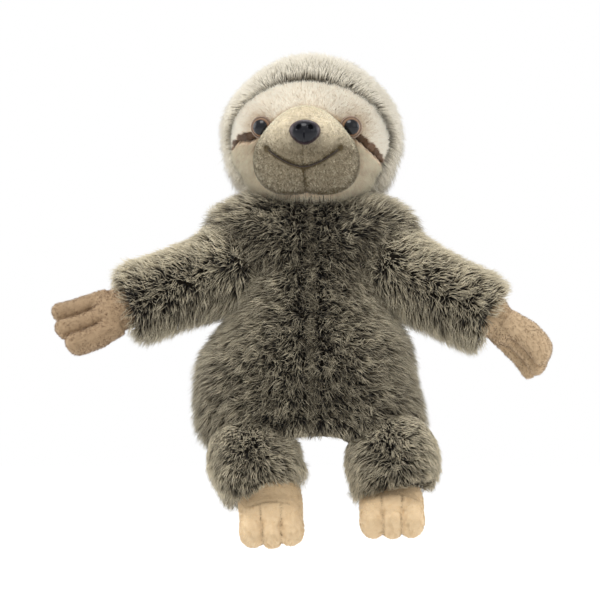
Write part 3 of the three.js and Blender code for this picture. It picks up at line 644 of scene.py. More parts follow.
def fur(name, low, high, sheen):
    """Hair: its colour runs up from root to tip by the UV's height, on a scale from the dark to the pale tone
    by the UV's width. low and high are stops of height and colour."""
    recipe = Recipe(name)
    uv = recipe.node("ShaderNodeUVMap", {"uv_map": "OFBake"})
    split = recipe.node("ShaderNodeSeparateXYZ", inputs={0: uv})
    dark = recipe.ramp(split.pick("Y"), *low)
    pale = recipe.ramp(split.pick("Y"), *high)
    return recipe.finish(
        recipe.mix(dark, pale, split.pick("X")), Roughness=0.8, Specular_IOR_Level=0.2,
        Sheen_Weight=sheen, Sheen_Roughness=0.5,
    )


def body_fur(colours):
    """Long fur, dark for half its length, with frosted tips. Dark hairs stay brown nearly to the tip."""
    root, middle, tip = colours.fur_root, colours.fur_middle, colours.fur_tip
    return fur(
        "frosted_fur",
        [(0, toned(root, 0.5)), (0.55, root), (0.78, between(root, middle, 0.5)), (1, toned(tip, 0.45))],
        [(0, root), (0.3, between(root, middle, 0.5)), (0.52, between(middle, tip, 0.5)), (0.76, tip)],
        sheen=0.12,
    )


def fur_tone_painted_light(normals, base, side=0.07, top=0.2, below=0.0):
    """The fur's tone with painted light and shade: paler where it lies over an edge or along the top, as if
    lit there, and darker on the front, the back and underneath, as painted shade."""
    over = (1 - normals[:, 1] ** 2) ** 1.5
    return base + side * over + top * share(normals[:, 2]) - below * share(-normals[:, 2])


def standing(normals, front, side):
    """Fur stands up and is ruffled where it faces forwards or back, and lies flat over the edges."""
    return front + (side - front) * (1 - normals[:, 1] ** 2)


def long_pile(sizes, normals):
    """What the long fur of body and limbs shares: how thick its hairs are, and how they gather in locks."""
    return {
        "thick": sizes.hair / MM * standing(normals, 1.0, 0.7), "spacing": sizes.lock / MM,
        "gather": 0.62, "vary": 0.42,
    }


def nap_hair(name, body, root, tip, dark, part=0.35):
    """Short hairs of plush and velour: the pale tone is the body's, times root below and times tip above. The
    dark tone is for seams, and has some part of the pale one at its tips."""
    return fur(
        name, [(0, toned(dark, 0.6)), (0.5, dark), (1, between(dark, body, part))],
        [(0, toned(body, root)), (0.4, body), (1, toned(body, tip))], 0.15,
    )


# Body.

def body_reaches(z, inset):
    """The bag's half width and its reaches to front and back at a height."""
    return (through(BODY_STATIONS[:, 0], BODY_STATIONS[:, k], z) - inset for k in (1, 2, 3))


def body_skin(angle, z, inset):
    """The bag: superellipse rings whose half width and reaches run smoothly up the stations. The seam down
    the front draws it in along x = 0, the flanks swell, and the lower edge arches between the legs."""
    half, front, back = body_reaches(z, inset)
    x, y = superellipse(angle, half, front, back, SQUARENESS)
    crease = np.where((y < 0) & (z < 150), 2.2 * bell(x, 3.0), 0)
    left, right = share(-x / half), share(x / half)
    full = right * (4.6 * bell(z - 60, 13) - 2.4 * bell(z - 30, 14))
    full = full - left * 7.5 * bell(z - 50, 20)
    arch = crotch_arch(x) * share(1 - z / 24) ** 2
    return np.stack([x + full, AXIS_Y + y + crease, z + arch + 0 * angle], -1)


def crotch_arch(x):
    """How far the lower edge is lifted between the legs."""
    return 6.0 * np.exp(-((x - CROTCH) / 20) ** 4)


def in_body(p, inset):
    """How far out a point is in the bag: under 1 inside it."""
    half, front, back = body_reaches(p[:, 2], inset)
    depth = np.where(p[:, 1] < AXIS_Y, front, back)
    far = np.abs(p[:, 0] / half) ** SQUARENESS + np.abs((p[:, 1] - AXIS_Y) / depth) ** SQUARENESS
    return np.where((p[:, 2] > 0) & (p[:, 2] < BAG_TOP), far ** (1 / SQUARENESS), 2.0)


def off_balls(p):
    """Keeps roots outside the balls of the shoulders and hips, or less than BALL_LAP inside them."""
    keep = np.ones(len(p), bool)
    for centres, radius in ((SHOULDERS, ARM_BALL), (HIPS, LEG_BALL)):
        for centre in centres.values():
            keep &= np.linalg.norm(p - centre, axis=1) > radius - BALL_LAP
    return keep


def seat_skin():
    """The underside: rings from the bag's lowest one in to the hand opening, with a rounded edge."""
    angle = around(96)[None]
    t = np.linspace(0, 1, 14)[:, None]
    outer = body_skin(angle, np.zeros((1, 1)), BODY_INSET)
    inner = rings(angle, MOUTH_HALF[0] + 2.5, MOUTH_HALF[1] + 2.5, 0.0)
    flat = outer[..., :2] * (1 - t[..., None]) + inner[..., :2] * t[..., None]
    drop = -1.5 * np.sin(np.pi * np.minimum(t * 1.6, 1))
    drop = drop + crotch_arch(flat[..., 0])
    return np.concatenate([flat, drop[..., None]], -1)


def body_comb(p):
    """Fur lies down and a little away from the centre seam, and stands up round the neck."""
    out = np.sign(p[:, 0]) * np.minimum(np.abs(p[:, 0]) / 18, 1)
    lift = share((p[:, 2] - 118) / 24) * share(np.abs(p[:, 0]) / 26 - 0.4)
    return np.stack([0.75 * out, 0 * out, -1 + 1.7 * lift], 1)


class PUPPET_OT_camera(Operator):
    """Sets the camera level with the chest, straight in front"""

    bl_idname = "puppet.camera"
    bl_label = "Camera"

    def execute(self, context):
        data = bpy.data.cameras.new("camera")
        view = bpy.data.objects.new("camera", data)
        context.scene.collection.objects.link(view)
        # In metres: the camera's place, and the depth at which the picture is so wide.
        aside, distance, height = -0.0066, 3.6, 0.085
        plane, wide = -0.035, 0.36
        view.location = (aside, -distance, height)
        view.rotation_euler = (np.pi / 2, 0, 0)
        data.sensor_width = 36
        data.lens = data.sensor_width * (distance + plane) / wide
        data.clip_end = 20
        context.scene.camera = view
        return {"FINISHED"}


class PUPPET_OT_body(Operator):
    """Covers the body bag with four panels of long fur"""

    bl_idname = "puppet.body"
    bl_label = "Body fur"

    def execute(self, context):
        sizes, colours = context.scene.puppet_fur, context.scene.puppet_colours
        material = body_fur(colours)
        panels = [
            ("front_fur_left", "front_panel_left", np.pi, 1.5 * np.pi, 11, 1.0),
            ("front_fur_right", "front_panel_right", 1.5 * np.pi, FULL, 12, 1.0),
            ("back_fur", "back_panel", 0, np.pi, 13, 1.26),
        ]
        for name, node, start, end, seed, more in panels:
            rng = np.random.default_rng(seed)
            angle = np.linspace(start, end, 56)[None]
            z = np.linspace(0, BAG_TOP, 64)[:, None]
            grid = body_skin(angle, z, BODY_INSET)
            cloth = Cloth()
            cloth.wall(grid, FUR_BACKING)
            skin = Skin.of_grid(grid)
            roots, normals, density = skin.scatter(int(sizes.panel_hairs * more), rng, off_balls)
            front = (roots[:, 1] < AXIS_Y) * 1.0
            x, z = np.abs(roots[:, 0]), roots[:, 2]
            # Painted shade on the front: down the seam's crease, where the fur also parts, under the chin and
            # in the armpits. The fur is also darker low on the belly, and paler at the crotch.
            seam = 0.16 * bell(x, 7) * share((142 - z) / 12)
            chest = 0.13 * bell(z - 112, 22) + 0.07 * bell(z - 28, 16)
            armpit_shadow = 0.3 * np.exp(-((x - 34) / 9) ** 2 - ((z - 108) / 14) ** 2)
            crotch = 0.14 * np.exp(-((roots[:, 0] - CROTCH) / 22) ** 2 - (z / 12) ** 2)
            lit = fur_tone_painted_light(normals, 0.42) - (seam + chest + armpit_shadow - crotch) * front
            pile = self.trim(roots) * sizes.body_pile / MM
            grow(cloth, rng, roots, normals, body_comb(roots), pile, density, lean=standing(normals, 15, 44),
                 ruffle=standing(normals, 2.0, 0.7), tone=lit, **long_pile(sizes, normals))
            made = cloth.piece(name, material)
            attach(made, "torso")
            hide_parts(node)
        self.seat(sizes, material)
        return {"FINISHED"}

    def trim(self, p):
        """How much of its length the fur keeps: it is clipped under the chin and between the legs."""
        front = p[:, 1] < AXIS_Y
        chin = share((p[:, 2] - 128) / 14) * share(1.5 - np.abs(p[:, 0]) / 24) * front
        crotch = share(1.3 - p[:, 2] / 18) * share(2 - np.abs(p[:, 0] - CROTCH) / 16)
        return 1 - 0.62 * chin - 0.62 * crotch

    def seat(self, sizes, material):
        """The seat's fur round the hand opening."""
        rng = np.random.default_rng(14)
        grid = facing_out(seat_skin(), np.array([0, AXIS_Y, 40.0]), True)
        cloth = Cloth()
        cloth.wall(grid, FUR_BACKING, wrap=True)
        skin = Skin.of_grid(grid, True)
        roots, normals, density = skin.scatter(sizes.seat_hairs, rng, off_balls)
        outwards = unit(roots - np.array([0, AXIS_Y * 0.4, 0])) * [1, 1, 0]
        short = 0.5 - 0.34 * share(2 - np.abs(roots[:, 0] - CROTCH) / 14)
        grow(cloth, rng, roots, normals, outwards, sizes.body_pile / MM * short, density, lean=62,
             thick=sizes.hair / MM, spacing=sizes.lock / MM, tone=0.35)
        made = cloth.piece("seat_fur", material)
        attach(made, "torso")
        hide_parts("seat_gusset")


# Limbs.

def limb_skin(stations):
    """A limb's skin about its own -Z axis: rings whose height, radius and flatness run smoothly through the
    stations, from the closed end inside the cuff to the ball at the root."""
    z, radius, flat = curves(stations, 60)
    return rings(around(72)[None], radius, radius * flat, z)


# For each kind of limb: the stations of its skin (height, radius and flatness), how far inside the bag's skin
# its hair ends, how its hair sags and parts to the sides, its share of the hairs and of their length, their
# lean in front and at the sides, and the height where the body's fur starts to cover it.
SLEEVE = {
    "stations": [
        (-56, 6, 1), (-58, 11, 1), (-62, 13, 0.98), (-66.0, 14.8, 0.96), (-65.8, 17.6, 0.92),
        (-62, 18.8, 0.9), (-52, 18.8, 0.92), (-34, 18.8, 0.97), (-14, 20.6, 0.98), (0, 24, 1),
        (10, 22.5, 1), (18, 18, 1), (23, 10, 1),
    ],
    "sunk": 14, "sag": 0.2, "parting": 0.9, "hairs": 1, "pile": 0.9, "lean": (16, 56), "top": 13,
}
LEG = {
    "stations": [
        (-8, 6, 1), (-9.5, 12, 1), (-15, 15.5, 1), (-19.5, 17.3, 1), (-19, 20, 0.98), (-15.5, 21.6, 0.98),
        (-9, 23, 1), (-3, 23.5, 1), (3, 23.5, 1), (9, 22, 1), (16, 17.5, 1), (21, 9, 1),
    ],
    "sunk": 12, "sag": 0.1, "parting": 0.6, "hairs": 0.86, "pile": 0.72, "lean": (15, 56), "top": 0,
}


def limb_fur(name, limb, place, sizes, material, seed, base):
    """One fur tube: its skin and the hair on what shows of it. The hair is combed towards the cuff and to
    both sides of a parting along front and back. It is short at the tube's top, under the body's fur, and
    flat at its sides. At a leg's cuff it is shorter in front and longer inside."""
    rng = np.random.default_rng(seed)
    stations = limb["stations"]
    grid = place.points(limb_skin(stations))
    cloth = Cloth()
    cloth.surface(grid, closed=True)
    skin = Skin.of_grid(grid, True)
    cuff = stations[4][0] - 0.8

    def wanted(p):
        q = place.local(p)
        outside = (np.hypot(q[:, 0], q[:, 1]) > stations[3][1]) | (q[:, 2] > stations[6][0])
        return outside & (q[:, 2] > cuff) & ~(in_body(p, limb["sunk"]) < 1)

    roots, normals, density = skin.scatter(int(sizes.limb_hairs * limb["hairs"]), rng, wanted)
    x, y, z = place.local(roots).T
    edge = share(1 - (z - cuff) / 9)
    under = share((z - limb["top"]) / 14)
    leg = limb is LEG
    inner = share(-np.sign(place.origin[0]) * x / 12) * leg
    outer = share(-x / 12) * (place.origin[0] < 0) * leg
    fore = share(-y / 14) * leg
    kept = 1 - (0.15 + 0.6 * fore) * edge - 0.5 * under + (0.7 * inner + 0.5 * outer) * edge
    way = np.stack([limb["parting"] * np.clip(x / 9, -1, 1), 0 * x, 0 * x - 0.7], 1)
    comb = way @ place.turn.T + [0, 0, -limb["sag"]]
    pile = sizes.body_pile / MM * limb["pile"] * kept
    # The fur's tone carries painted light on top and over the edges, and painted shade underneath.
    grow(cloth, rng, roots, normals, comb, pile, density, lean=standing(normals, *limb["lean"]) + 14 * under,
         ruffle=standing(normals, 2.0, 0.6), tone=fur_tone_painted_light(normals, base, 0.34, 0.48, 0.28),
         **long_pile(sizes, normals))
    return cloth.piece(name, material)


def paw_form(size):
    """The closed surfaces of a paw about its own -Z axis: a ball and palm, and three rounded fingers side by
    side that curl forwards by the square of the way along them."""
    angle = around(28)[None]
    half, thick, ball = size["width"] / 2, size["thickness"] / 2, size["ball"]
    palm_end = (size["finger"] - size["length"]) * 0.8
    stations = np.array([
        (palm_end - 3, 0.3, 0.2), (palm_end - 2, 0.64, 0.42), (palm_end * 0.9, 0.88, 0.74),
        (palm_end * 0.6, 0.94, 1), (palm_end * 0.3, size["waist"], 0.98),
    ])
    palm = [(z, half * wide, thick * deep) for z, wide, deep in stations]
    for k in (0, 0.45, 0.8, 0.97):
        reach = ball * np.sqrt(1 - k * k)
        palm.append((ball * k, reach * size["heel"], reach))
    z, across, deep = curves(palm, 40)
    yield rings(angle, across, deep, z)
    radius, root = size["width"] / 6, palm_end + 12
    for place in (-1, 0, 1):
        tip = -size["length"] + abs(place) * 2.0
        t = np.linspace(0, 1, 36)[:, None]
        z = root + (tip - root) * t
        cap = share((z - tip) / (radius * 1.15))
        swell = np.sqrt(np.maximum(1 - (1 - cap) ** 2, 0.002)) * (0.8 + 0.2 * np.minimum(t * 2.5, 1))
        x = finger_line(place, z, size)
        y = -size["curl"] * np.maximum((palm_end - z) / size["finger"], 0) ** 2
        wide = (radius + size["fat"]) * swell
        deep = (size["thickness"] / 2 - 1.5) * swell
        yield rings(angle, wide, deep, z, x, y)


def finger_line(place, z, size):
    """How far aside a finger's middle lies at a height: they lie close, and part or close up at the tips."""
    spread = size["spread"] * np.maximum(-z - size["length"] * 0.4, 0)
    return place * (size["width"] / 6 * size["part"] + spread)


def smooth_union(forms, place, voxel):
    """Joins closed surfaces into one skin: a voxel remesh, then smoothing."""
    cloth = Cloth()
    for form in forms:
        cloth.surface(form, closed=True)
    made = cloth.piece("union")
    remesh = made.modifiers.new("remesh", "REMESH")
    remesh.mode, remesh.voxel_size = "VOXEL", voxel * MM
    smooth = made.modifiers.new("smooth", "SMOOTH")
    smooth.factor, smooth.iterations = 0.5, 3
    bpy.context.view_layer.update()
    evaluated = made.evaluated_get(bpy.context.evaluated_depsgraph_get())
    mesh = bpy.data.meshes.new_from_object(evaluated)
    bpy.data.objects.remove(made)
    places = np.empty(len(mesh.vertices) * 3)
    mesh.vertices.foreach_get("co", places)
    places = place.points(places.reshape(-1, 3) / MM)
    mesh.vertices.foreach_set("co", (places * MM).ravel())
    mesh.update()
    return mesh


def band(place, radius, height):
    """A seam tape: a thin band on a sphere about a joint, closed all round."""
    angle = around(72)[None]
    corner = np.array([(0, -1), (0, 0), (0, 1), (1, 1), (1, 0), (1, -1), (0, -1)], float)
    level = (height + TAPE_HALF * corner[:, 1])[:, None]
    reach = np.sqrt((radius + TAPE_THICK * corner[:, :1]) ** 2 - level ** 2)
    return place.points(rings(angle, reach, reach, level))


def woven(name, shade):
    """Plain weave: two crossing sets of bands raise the threads and darken the gaps."""
    recipe = Recipe(name)
    waves = [
        recipe.node("ShaderNodeTexWave", {"bands_direction": axis}, {"Vector": recipe.spot(), "Scale": 300})
        for axis in ("DIAGONAL", "Z")
    ]
    weave = waves[0] * waves[1]
    clouds = recipe.noise(90)
    shade_of = recipe.mix(toned(shade, 0.6), toned(shade, 1.2), (weave * 0.6 + clouds * 0.4).clamped())
    return recipe.finish(
        shade_of, Roughness=0.85, Specular_IOR_Level=0.2, Normal=recipe.bump(weave, 0.0003, 0.6),
    )


class PUPPET_OT_limbs(Operator):
    """Adds the fur sleeves and legs, and the seam tapes round their joints"""

    bl_idname = "puppet.limbs"
    bl_label = "Sleeves and legs"

    def execute(self, context):
        sizes, colours = context.scene.puppet_fur, context.scene.puppet_colours
        material = bpy.data.materials["frosted_fur"]
        tape = woven("woven_tape", colours.binding)
        for k, side in enumerate(SHOULDERS):
            arm = ARMS[side]
            sleeve = limb_fur(
                f"sleeve_fur_{side}", SLEEVE, arm, sizes, material, seed=21 + k, base=0.63 + 0.07 * k,
            )
            start = arm.points(np.array([0, 0, 12.0])) * MM
            end = arm.points(np.array([0, 0, -16.0])) * MM
            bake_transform(sleeve)
            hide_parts(f"sleeve_{side}")
            leg = LEGS[side]
            shifted = Place(leg.origin + [LEG_ASIDE, 0, 0], leg.turn)
            tube = limb_fur(f"leg_fur_hair_{side}", LEG, shifted, sizes, material, seed=31 + k, base=0.6)
            start = leg.points(np.array([0, 0, 10.0])) * MM
            end = leg.points(np.array([0, 0, -12.0])) * MM
            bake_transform(tube)
            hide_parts(f"leg_fur_{side}", f"leg_stuffing_{side}")
            for name, body, node, place, radius, height in (
                ("shoulder_tape", "shoulder", "armhole_tape", arm, ARM_BALL - 4.5, 13),
                ("hip_seam_tape", "hip", "hip_tape", leg, LEG_BALL - 4, 12),
            ):
                made = surfaced(f"{name}_{side}", tape, band(place, radius, height))
                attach(made, f"{body}_{side}")
                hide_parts(f"{node}_{side}")
        return {"FINISHED"}


class PUPPET_OT_paws(Operator):
    """Adds the stuffed velour hands and feet"""

    bl_idname = "puppet.paws"
    bl_label = "Hands and feet"

    def execute(self, context):
        sizes, colours = context.scene.puppet_fur, context.scene.puppet_colours
        naps = {
            kind: nap_hair(f"{kind}_nap", shade, 0.75, 1.1, colours.paw_shade)
            for kind, shade in (("hand", colours.hand), ("foot", colours.paw))
        }
        kinds = [("hand", HAND, WRISTS, 0.9), ("foot", FOOT, ANKLES, 0.95)]
        for k, (kind, size, places, voxel) in enumerate(kinds):
            for j, side in enumerate(SHOULDERS):
                turn, twist, aside, pitch = PAW_HANG[kind, side]
                place = Place(
                    places[side].origin + [aside, 0, 0],
                    rotation("y", turn) @ places[side].turn @ rotation("x", pitch) @ rotation("z", twist),
                )
                skin = Skin.of_mesh(smooth_union(paw_form(size), place, voxel))
                creases, fold = self.drawn(place.local(skin.places), kind, size)
                drawn = 0.8 * creases + fold
                skin = Skin(skin.places - skin.normals * drawn[:, None], skin.triangles)
                bright = PAW_PAINTED_LIGHT[kind, side]
                cloth = Cloth()
                ground = np.array((min(bright + 0.2, 0.75), 0.35))
                cloth.faces(cloth.points(skin.places) + skin.triangles, PATCH[:3] + ground)
                rng = np.random.default_rng(41 + 2 * k + j)
                roots, normals, density = skin.scatter(sizes.nap_hairs, rng)
                comb = np.broadcast_to(place.turn @ np.array([0, 0, -1.0]), roots.shape)
                # Painted shade: darker down the creases between the fingers and in a foot's fold, and towards
                # the cuff.
                q = place.local(roots)
                creases, fold = self.drawn(q, kind, size)
                rise = share((q[:, 2] + size["length"]) / size["length"])
                speckle = 0.06 * drift(q, 2.6, 9)[:, 0]
                tone = bright - 0.12 * rise - 0.95 * creases - 0.6 * fold + speckle
                grow(cloth, rng, roots, normals, comb, sizes.velour_pile / MM, density, lean=46,
                     thick=sizes.nap / MM, spacing=1.9, tone=tone, gather=0.6, vary=0.16, droop=0.02,
                     straight=True)
                made = cloth.piece(f"{kind}_{side}_velour", naps[kind])
                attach(made, f"{kind}_{side}")
                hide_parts(f"{kind}_cover_{side}", f"{kind}_stuffing_{side}")
        return {"FINISHED"}

    def drawn(self, q, kind, size):
        """1 along the creases between the fingers, and 1 along a foot's fold."""
        return between_fingers(q, size), toe_fold(q, size) if kind == "foot" else 0


def toe_fold(q, size):
    """1 along the fold over the roots of the toes, on the front of the foot."""
    line = size["fold"] - 1.5 * (q[:, 0] / size["width"] * 2) ** 2
    wide = share(2.6 - np.abs(q[:, 0]) / size["width"] * 6)
    return bell(q[:, 2] - line, 0.8) * wide * (q[:, 1] < 0)


def between_fingers(q, size):
    """1 along the creases between neighbouring fingers, fading over a millimetre."""
    away = np.abs(np.abs(q[:, 0]) - finger_line(1, q[:, 2], size) / 2)
    return bell(away, 0.7) * share((size["fold"] - q[:, 2]) / 3)


# Head.

def head_reach(direction, inset):
    """How far the head's skin lies from its centre: |x/a|^p + |y/b|^p + |z/c|^p = 1 along the direction."""
    depth = np.where(direction[..., 1] < 0, HEAD_HALF[1] - inset, HEAD_BACK - inset)
    total = (
        (np.abs(direction[..., 0]) / (HEAD_HALF[0] - inset)) ** HEAD_SQUARENESS
        + (np.abs(direction[..., 1]) / depth) ** HEAD_SQUARENESS
        + (np.abs(direction[..., 2]) / (HEAD_HALF[2] - inset)) ** HEAD_SQUARENESS
    )
    return total ** (-1 / HEAD_SQUARENESS)


def head_skin_y(x, z, inset):
    """The depth of the head's skin straight behind a point of the face."""
    rest = (
        1 - (np.abs(x) / (HEAD_HALF[0] - inset)) ** HEAD_SQUARENESS
        - (np.abs(z - HEAD_RISE) / (HEAD_HALF[2] - inset)) ** HEAD_SQUARENESS
    )
    return -(HEAD_HALF[1] - inset) * np.maximum(rest, 0.02) ** (1 / HEAD_SQUARENESS)


def window(angle):
    """The hood's edge on the face, from straight up: half an ellipse below, and a flatter half above."""
    tall = np.where(np.cos(angle) > 0, BROW_HALF, FACE_HALF[1]) - HOOD_LAP
    return (FACE_HALF[0] - HOOD_LAP) * np.sin(angle), FACE_CENTRE + tall * np.cos(angle)


def hood_skin(start, end):
    """The hood: from each point of the face's edge it runs over the head to the middle of the back, turning
    steadily from that point's direction to straight back. Its first rows turn in to the face."""
    angle = np.linspace(start, end, 60)[None]
    x, z = window(angle)
    y = head_skin_y(x, z, HOOD_INSET)
    first = unit(np.stack([x, y, z - HEAD_RISE], -1))
    back = np.array([0.0, 1.0, 0.0])
    between_them = np.arccos(np.clip(first @ back, -1, 1))[..., None]
    t = np.linspace(0, 0.998, 44)[:, None, None]
    way = (np.sin((1 - t) * between_them) * first + np.sin(t * between_them) * back) / np.sin(between_them)
    way = unit(way)
    over = way * head_reach(way, HOOD_INSET)[..., None] + [0, 0, HEAD_RISE]
    high = share((over[..., 2] - HEAD_RISE) / HEAD_HALF[2])
    over[..., 0] *= 1 - 0.2 * high ** 2 * np.minimum(t[..., 0] * 5, 1)
    lip = np.stack([x, y + 4.5, z], -1)
    inner = np.stack([x * 0.97, y + 8, (z - FACE_CENTRE) * 0.97 + FACE_CENTRE], -1)
    return np.concatenate([inner, lip, over])


class PUPPET_OT_hood(Operator):
    """Covers the head with the paler hood, combed away from the face"""

    bl_idname = "puppet.hood"
    bl_label = "Hood"

    def execute(self, context):
        sizes, colours = context.scene.puppet_fur, context.scene.puppet_colours
        root, middle, tip = colours.fur_root, colours.fur_middle, colours.hood_tip
        material = fur(
            "hood_hair",
            [(0, root), (0.3, between(root, middle, 0.5)), (0.5, between(middle, tip, 0.4)), (0.8, tip)],
            [(0, toned(middle, 0.9)), (0.15, between(middle, tip, 0.6)), (0.4, tip), (1, tip)],
            sheen=0.2,
        )
        for side, start, end, seed in (("right", 0, np.pi, 51), ("left", np.pi, FULL, 52)):
            rng = np.random.default_rng(seed)
            grid = facing_out(HEAD.points(hood_skin(start, end)), HEAD_MIDDLE)
            cloth = Cloth()
            cloth.wall(grid, FUR_BACKING, ground=(0.5, 0.3))
            skin = Skin.of_grid(grid[2:])
            roots, normals, density = skin.scatter(
                sizes.hood_hairs, rng, lambda p: np.linalg.norm(p - NECK, axis=1) > NECK_BALL + 5,
            )
            q = HEAD.local(roots)
            away = unit(q - [0, 0, FACE_CENTRE]) * [1, 0, 1] + [0, 0.6, -0.2]
            behind = share((q[:, 1:2] + 10) / 25)
            down = np.stack([0.3 * q[:, 0] / HEAD_HALF[0], 0.2 + 0 * q[:, 0], -1 + 0 * q[:, 0]], -1)
            comb = HEAD.points(away * (1 - behind) + down * behind) - HEAD.origin
            x, z = q[:, 0] / FACE_HALF[0], (q[:, 2] - FACE_CENTRE) / FACE_HALF[1]
            # From 1 at the face's edge to 0 some 9 mm behind it.
            edge = share(1 - (np.hypot(x, z) - 1) * 40 / 9) * (q[:, 1] < 0)
            rise = q[:, 2] - HEAD_RISE
            # The dark fringe shows most over the brow, and less down the sides.
            fringe = 0.1 + 0.9 * share((rise + 0.6 * q[:, 0]) / 16)
            corner = bell(rise - 24, 15) * share(np.abs(q[:, 0]) / 20)
            kept = 1 - 0.15 * edge - 0.28 * corner + 0.3 * share((-rise - 12) / 14)
            grow(cloth, rng, roots, normals, comb, sizes.hood_pile / MM * kept, density,
                 lean=46 - 4 * edge, thick=sizes.hair / MM * 0.8, spacing=3.0, gather=0.4, vary=0.2,
                 tone=0.56 + 0.42 * share(np.abs(q[:, 0]) / 40) - 0.5 * edge * fringe,
                 wobble=0.25, ruffle=0.7)
            made = cloth.piece(f"hood_fur_{side}", material)
            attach(made, "head")
            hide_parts(f"hood_{side}", *(["head_stuffing"] if side == "left" else []))
        return {"FINISHED"}


def muzzle_radius(angle):
    """The muzzle's outline from straight up: a soft triangle, as a middle radius with one, two and three
    waves."""
    middle = (MUZZLE_RISE + MUZZLE_DROP) / 2
    lift = (MUZZLE_RISE - MUZZLE_DROP) / 2
    spread = (MUZZLE_HALF - middle) / 2
    return (middle + spread + lift * (0.45 * np.cos(angle) + 0.55 * np.cos(3 * angle))
            - spread * np.cos(2 * angle))


def muzzle_scale(t):
    """How much is left of the muzzle's outline on the way from the face to the tip."""
    return np.maximum(1 - t ** MUZZLE_POWER, 0) ** (1 / MUZZLE_POWER)


def muzzle_depth(t):
    face = head_skin_y(0, MUZZLE_CENTRE, FACE_INSET)
    return face + MUZZLE_SEAT - (MUZZLE_LENGTH + MUZZLE_SEAT) * t


def muzzle_skin(angle, t):
    """The muzzle: its outline shrinks on the way from the face to the tip, and rises."""
    radius = muzzle_radius(angle) * muzzle_scale(t)
    y = muzzle_depth(t)
    z = MUZZLE_CENTRE + MUZZLE_UPTURN * t ** 1.5
    return np.stack([radius * np.sin(angle), y + 0 * angle, z + radius * np.cos(angle)], -1)


def smile_height(x):
    return HEAD_RISE - SMILE_DROP + SMILE_LIFT * np.abs(x / SMILE_HALF) ** 1.7


def from_eyes(x, z):
    """How far a point of the face lies from the left eye and from the right one."""
    return [np.hypot(x - side * EYE_SPACING / 2, z - HEAD_RISE - EYE_RISE) for side in (-1, 1)]


def face_skin(x, z):
    """The plush face, with a soft hollow round each eye, and fuller under the chin."""
    y = head_skin_y(x, z, FACE_INSET * (1 - share((27 - z) / 12)))
    for away in from_eyes(x, z):
        y = y + 1.6 * bell(away, 8.5)
    return np.stack([x, y, z], -1)


# Where each stripe's upper edge runs, across and up, from the muzzle's seam to the hood.
STRIPE_TOP = {
    "left": np.array([(17.5, 58.5), (24, 54.5), (30, 49.5), (36, 49.3), (41, 46.6), (46.5, 39.5)]),
    "right": np.array([(17.5, 58.5), (24, 52.5), (30, 47), (36, 42.5), (41, 38), (46.5, 32)]),
}


def stripe_angle(side, t, drop):
    """The direction of the stripe's edge from the muzzle's middle, as it runs out to the hood. drop is how
    far the lower edge lies below the upper one, where the stripe is widest."""
    knots = np.arange(len(STRIPE_TOP[side]))
    x, z = (through(knots, STRIPE_TOP[side][:, k], t * knots[-1]) for k in (0, 1))
    z = z - drop * (0.1 + 0.9 * np.sin(np.pi * share(t) ** 0.9))
    z = z + 0.45 * np.sin(52 * t + drop) + 0.3 * np.sin(87 * t + 2 * drop)
    return np.arctan2(x, z - MUZZLE_CENTRE)


def ray_to_ellipse(angle, tall, side):
    """How far a ray from the muzzle's middle runs to the half of the window above (side 1) or below (side
    -1) its centre: the larger root of the quadratic for |p/half|^2 = 1. It is 0 where the ray meets the
    other half."""
    dx, dz = np.sin(angle) / (FACE_HALF[0] - 0.2), np.cos(angle) / (tall - 0.2)
    cz = (MUZZLE_CENTRE - FACE_CENTRE) / (tall - 0.2)
    a, b, c = dx ** 2 + dz ** 2, cz * dz, cz ** 2 - 1
    reach = (-b + np.sqrt(b ** 2 - a * c)) / a
    return np.where((MUZZLE_CENTRE + reach * np.cos(angle) - FACE_CENTRE) * side >= -1e-6, reach, 0)


def face_panel(low, high):
    """A panel of the face in polar form about the muzzle's middle, from its outline to the hood's edge."""
    t = np.linspace(0, 1, 56)[:, None]
    s = np.linspace(0, 1, 44)[None]
    angle = low(t) + (high(t) - low(t)) * s
    outer = np.maximum(ray_to_ellipse(angle, BROW_HALF, 1), ray_to_ellipse(angle, FACE_HALF[1], -1))
    inner = muzzle_radius(angle) * 0.8
    radius = inner + (outer - inner) * t
    return face_skin(radius * np.sin(angle), MUZZLE_CENTRE + radius * np.cos(angle))


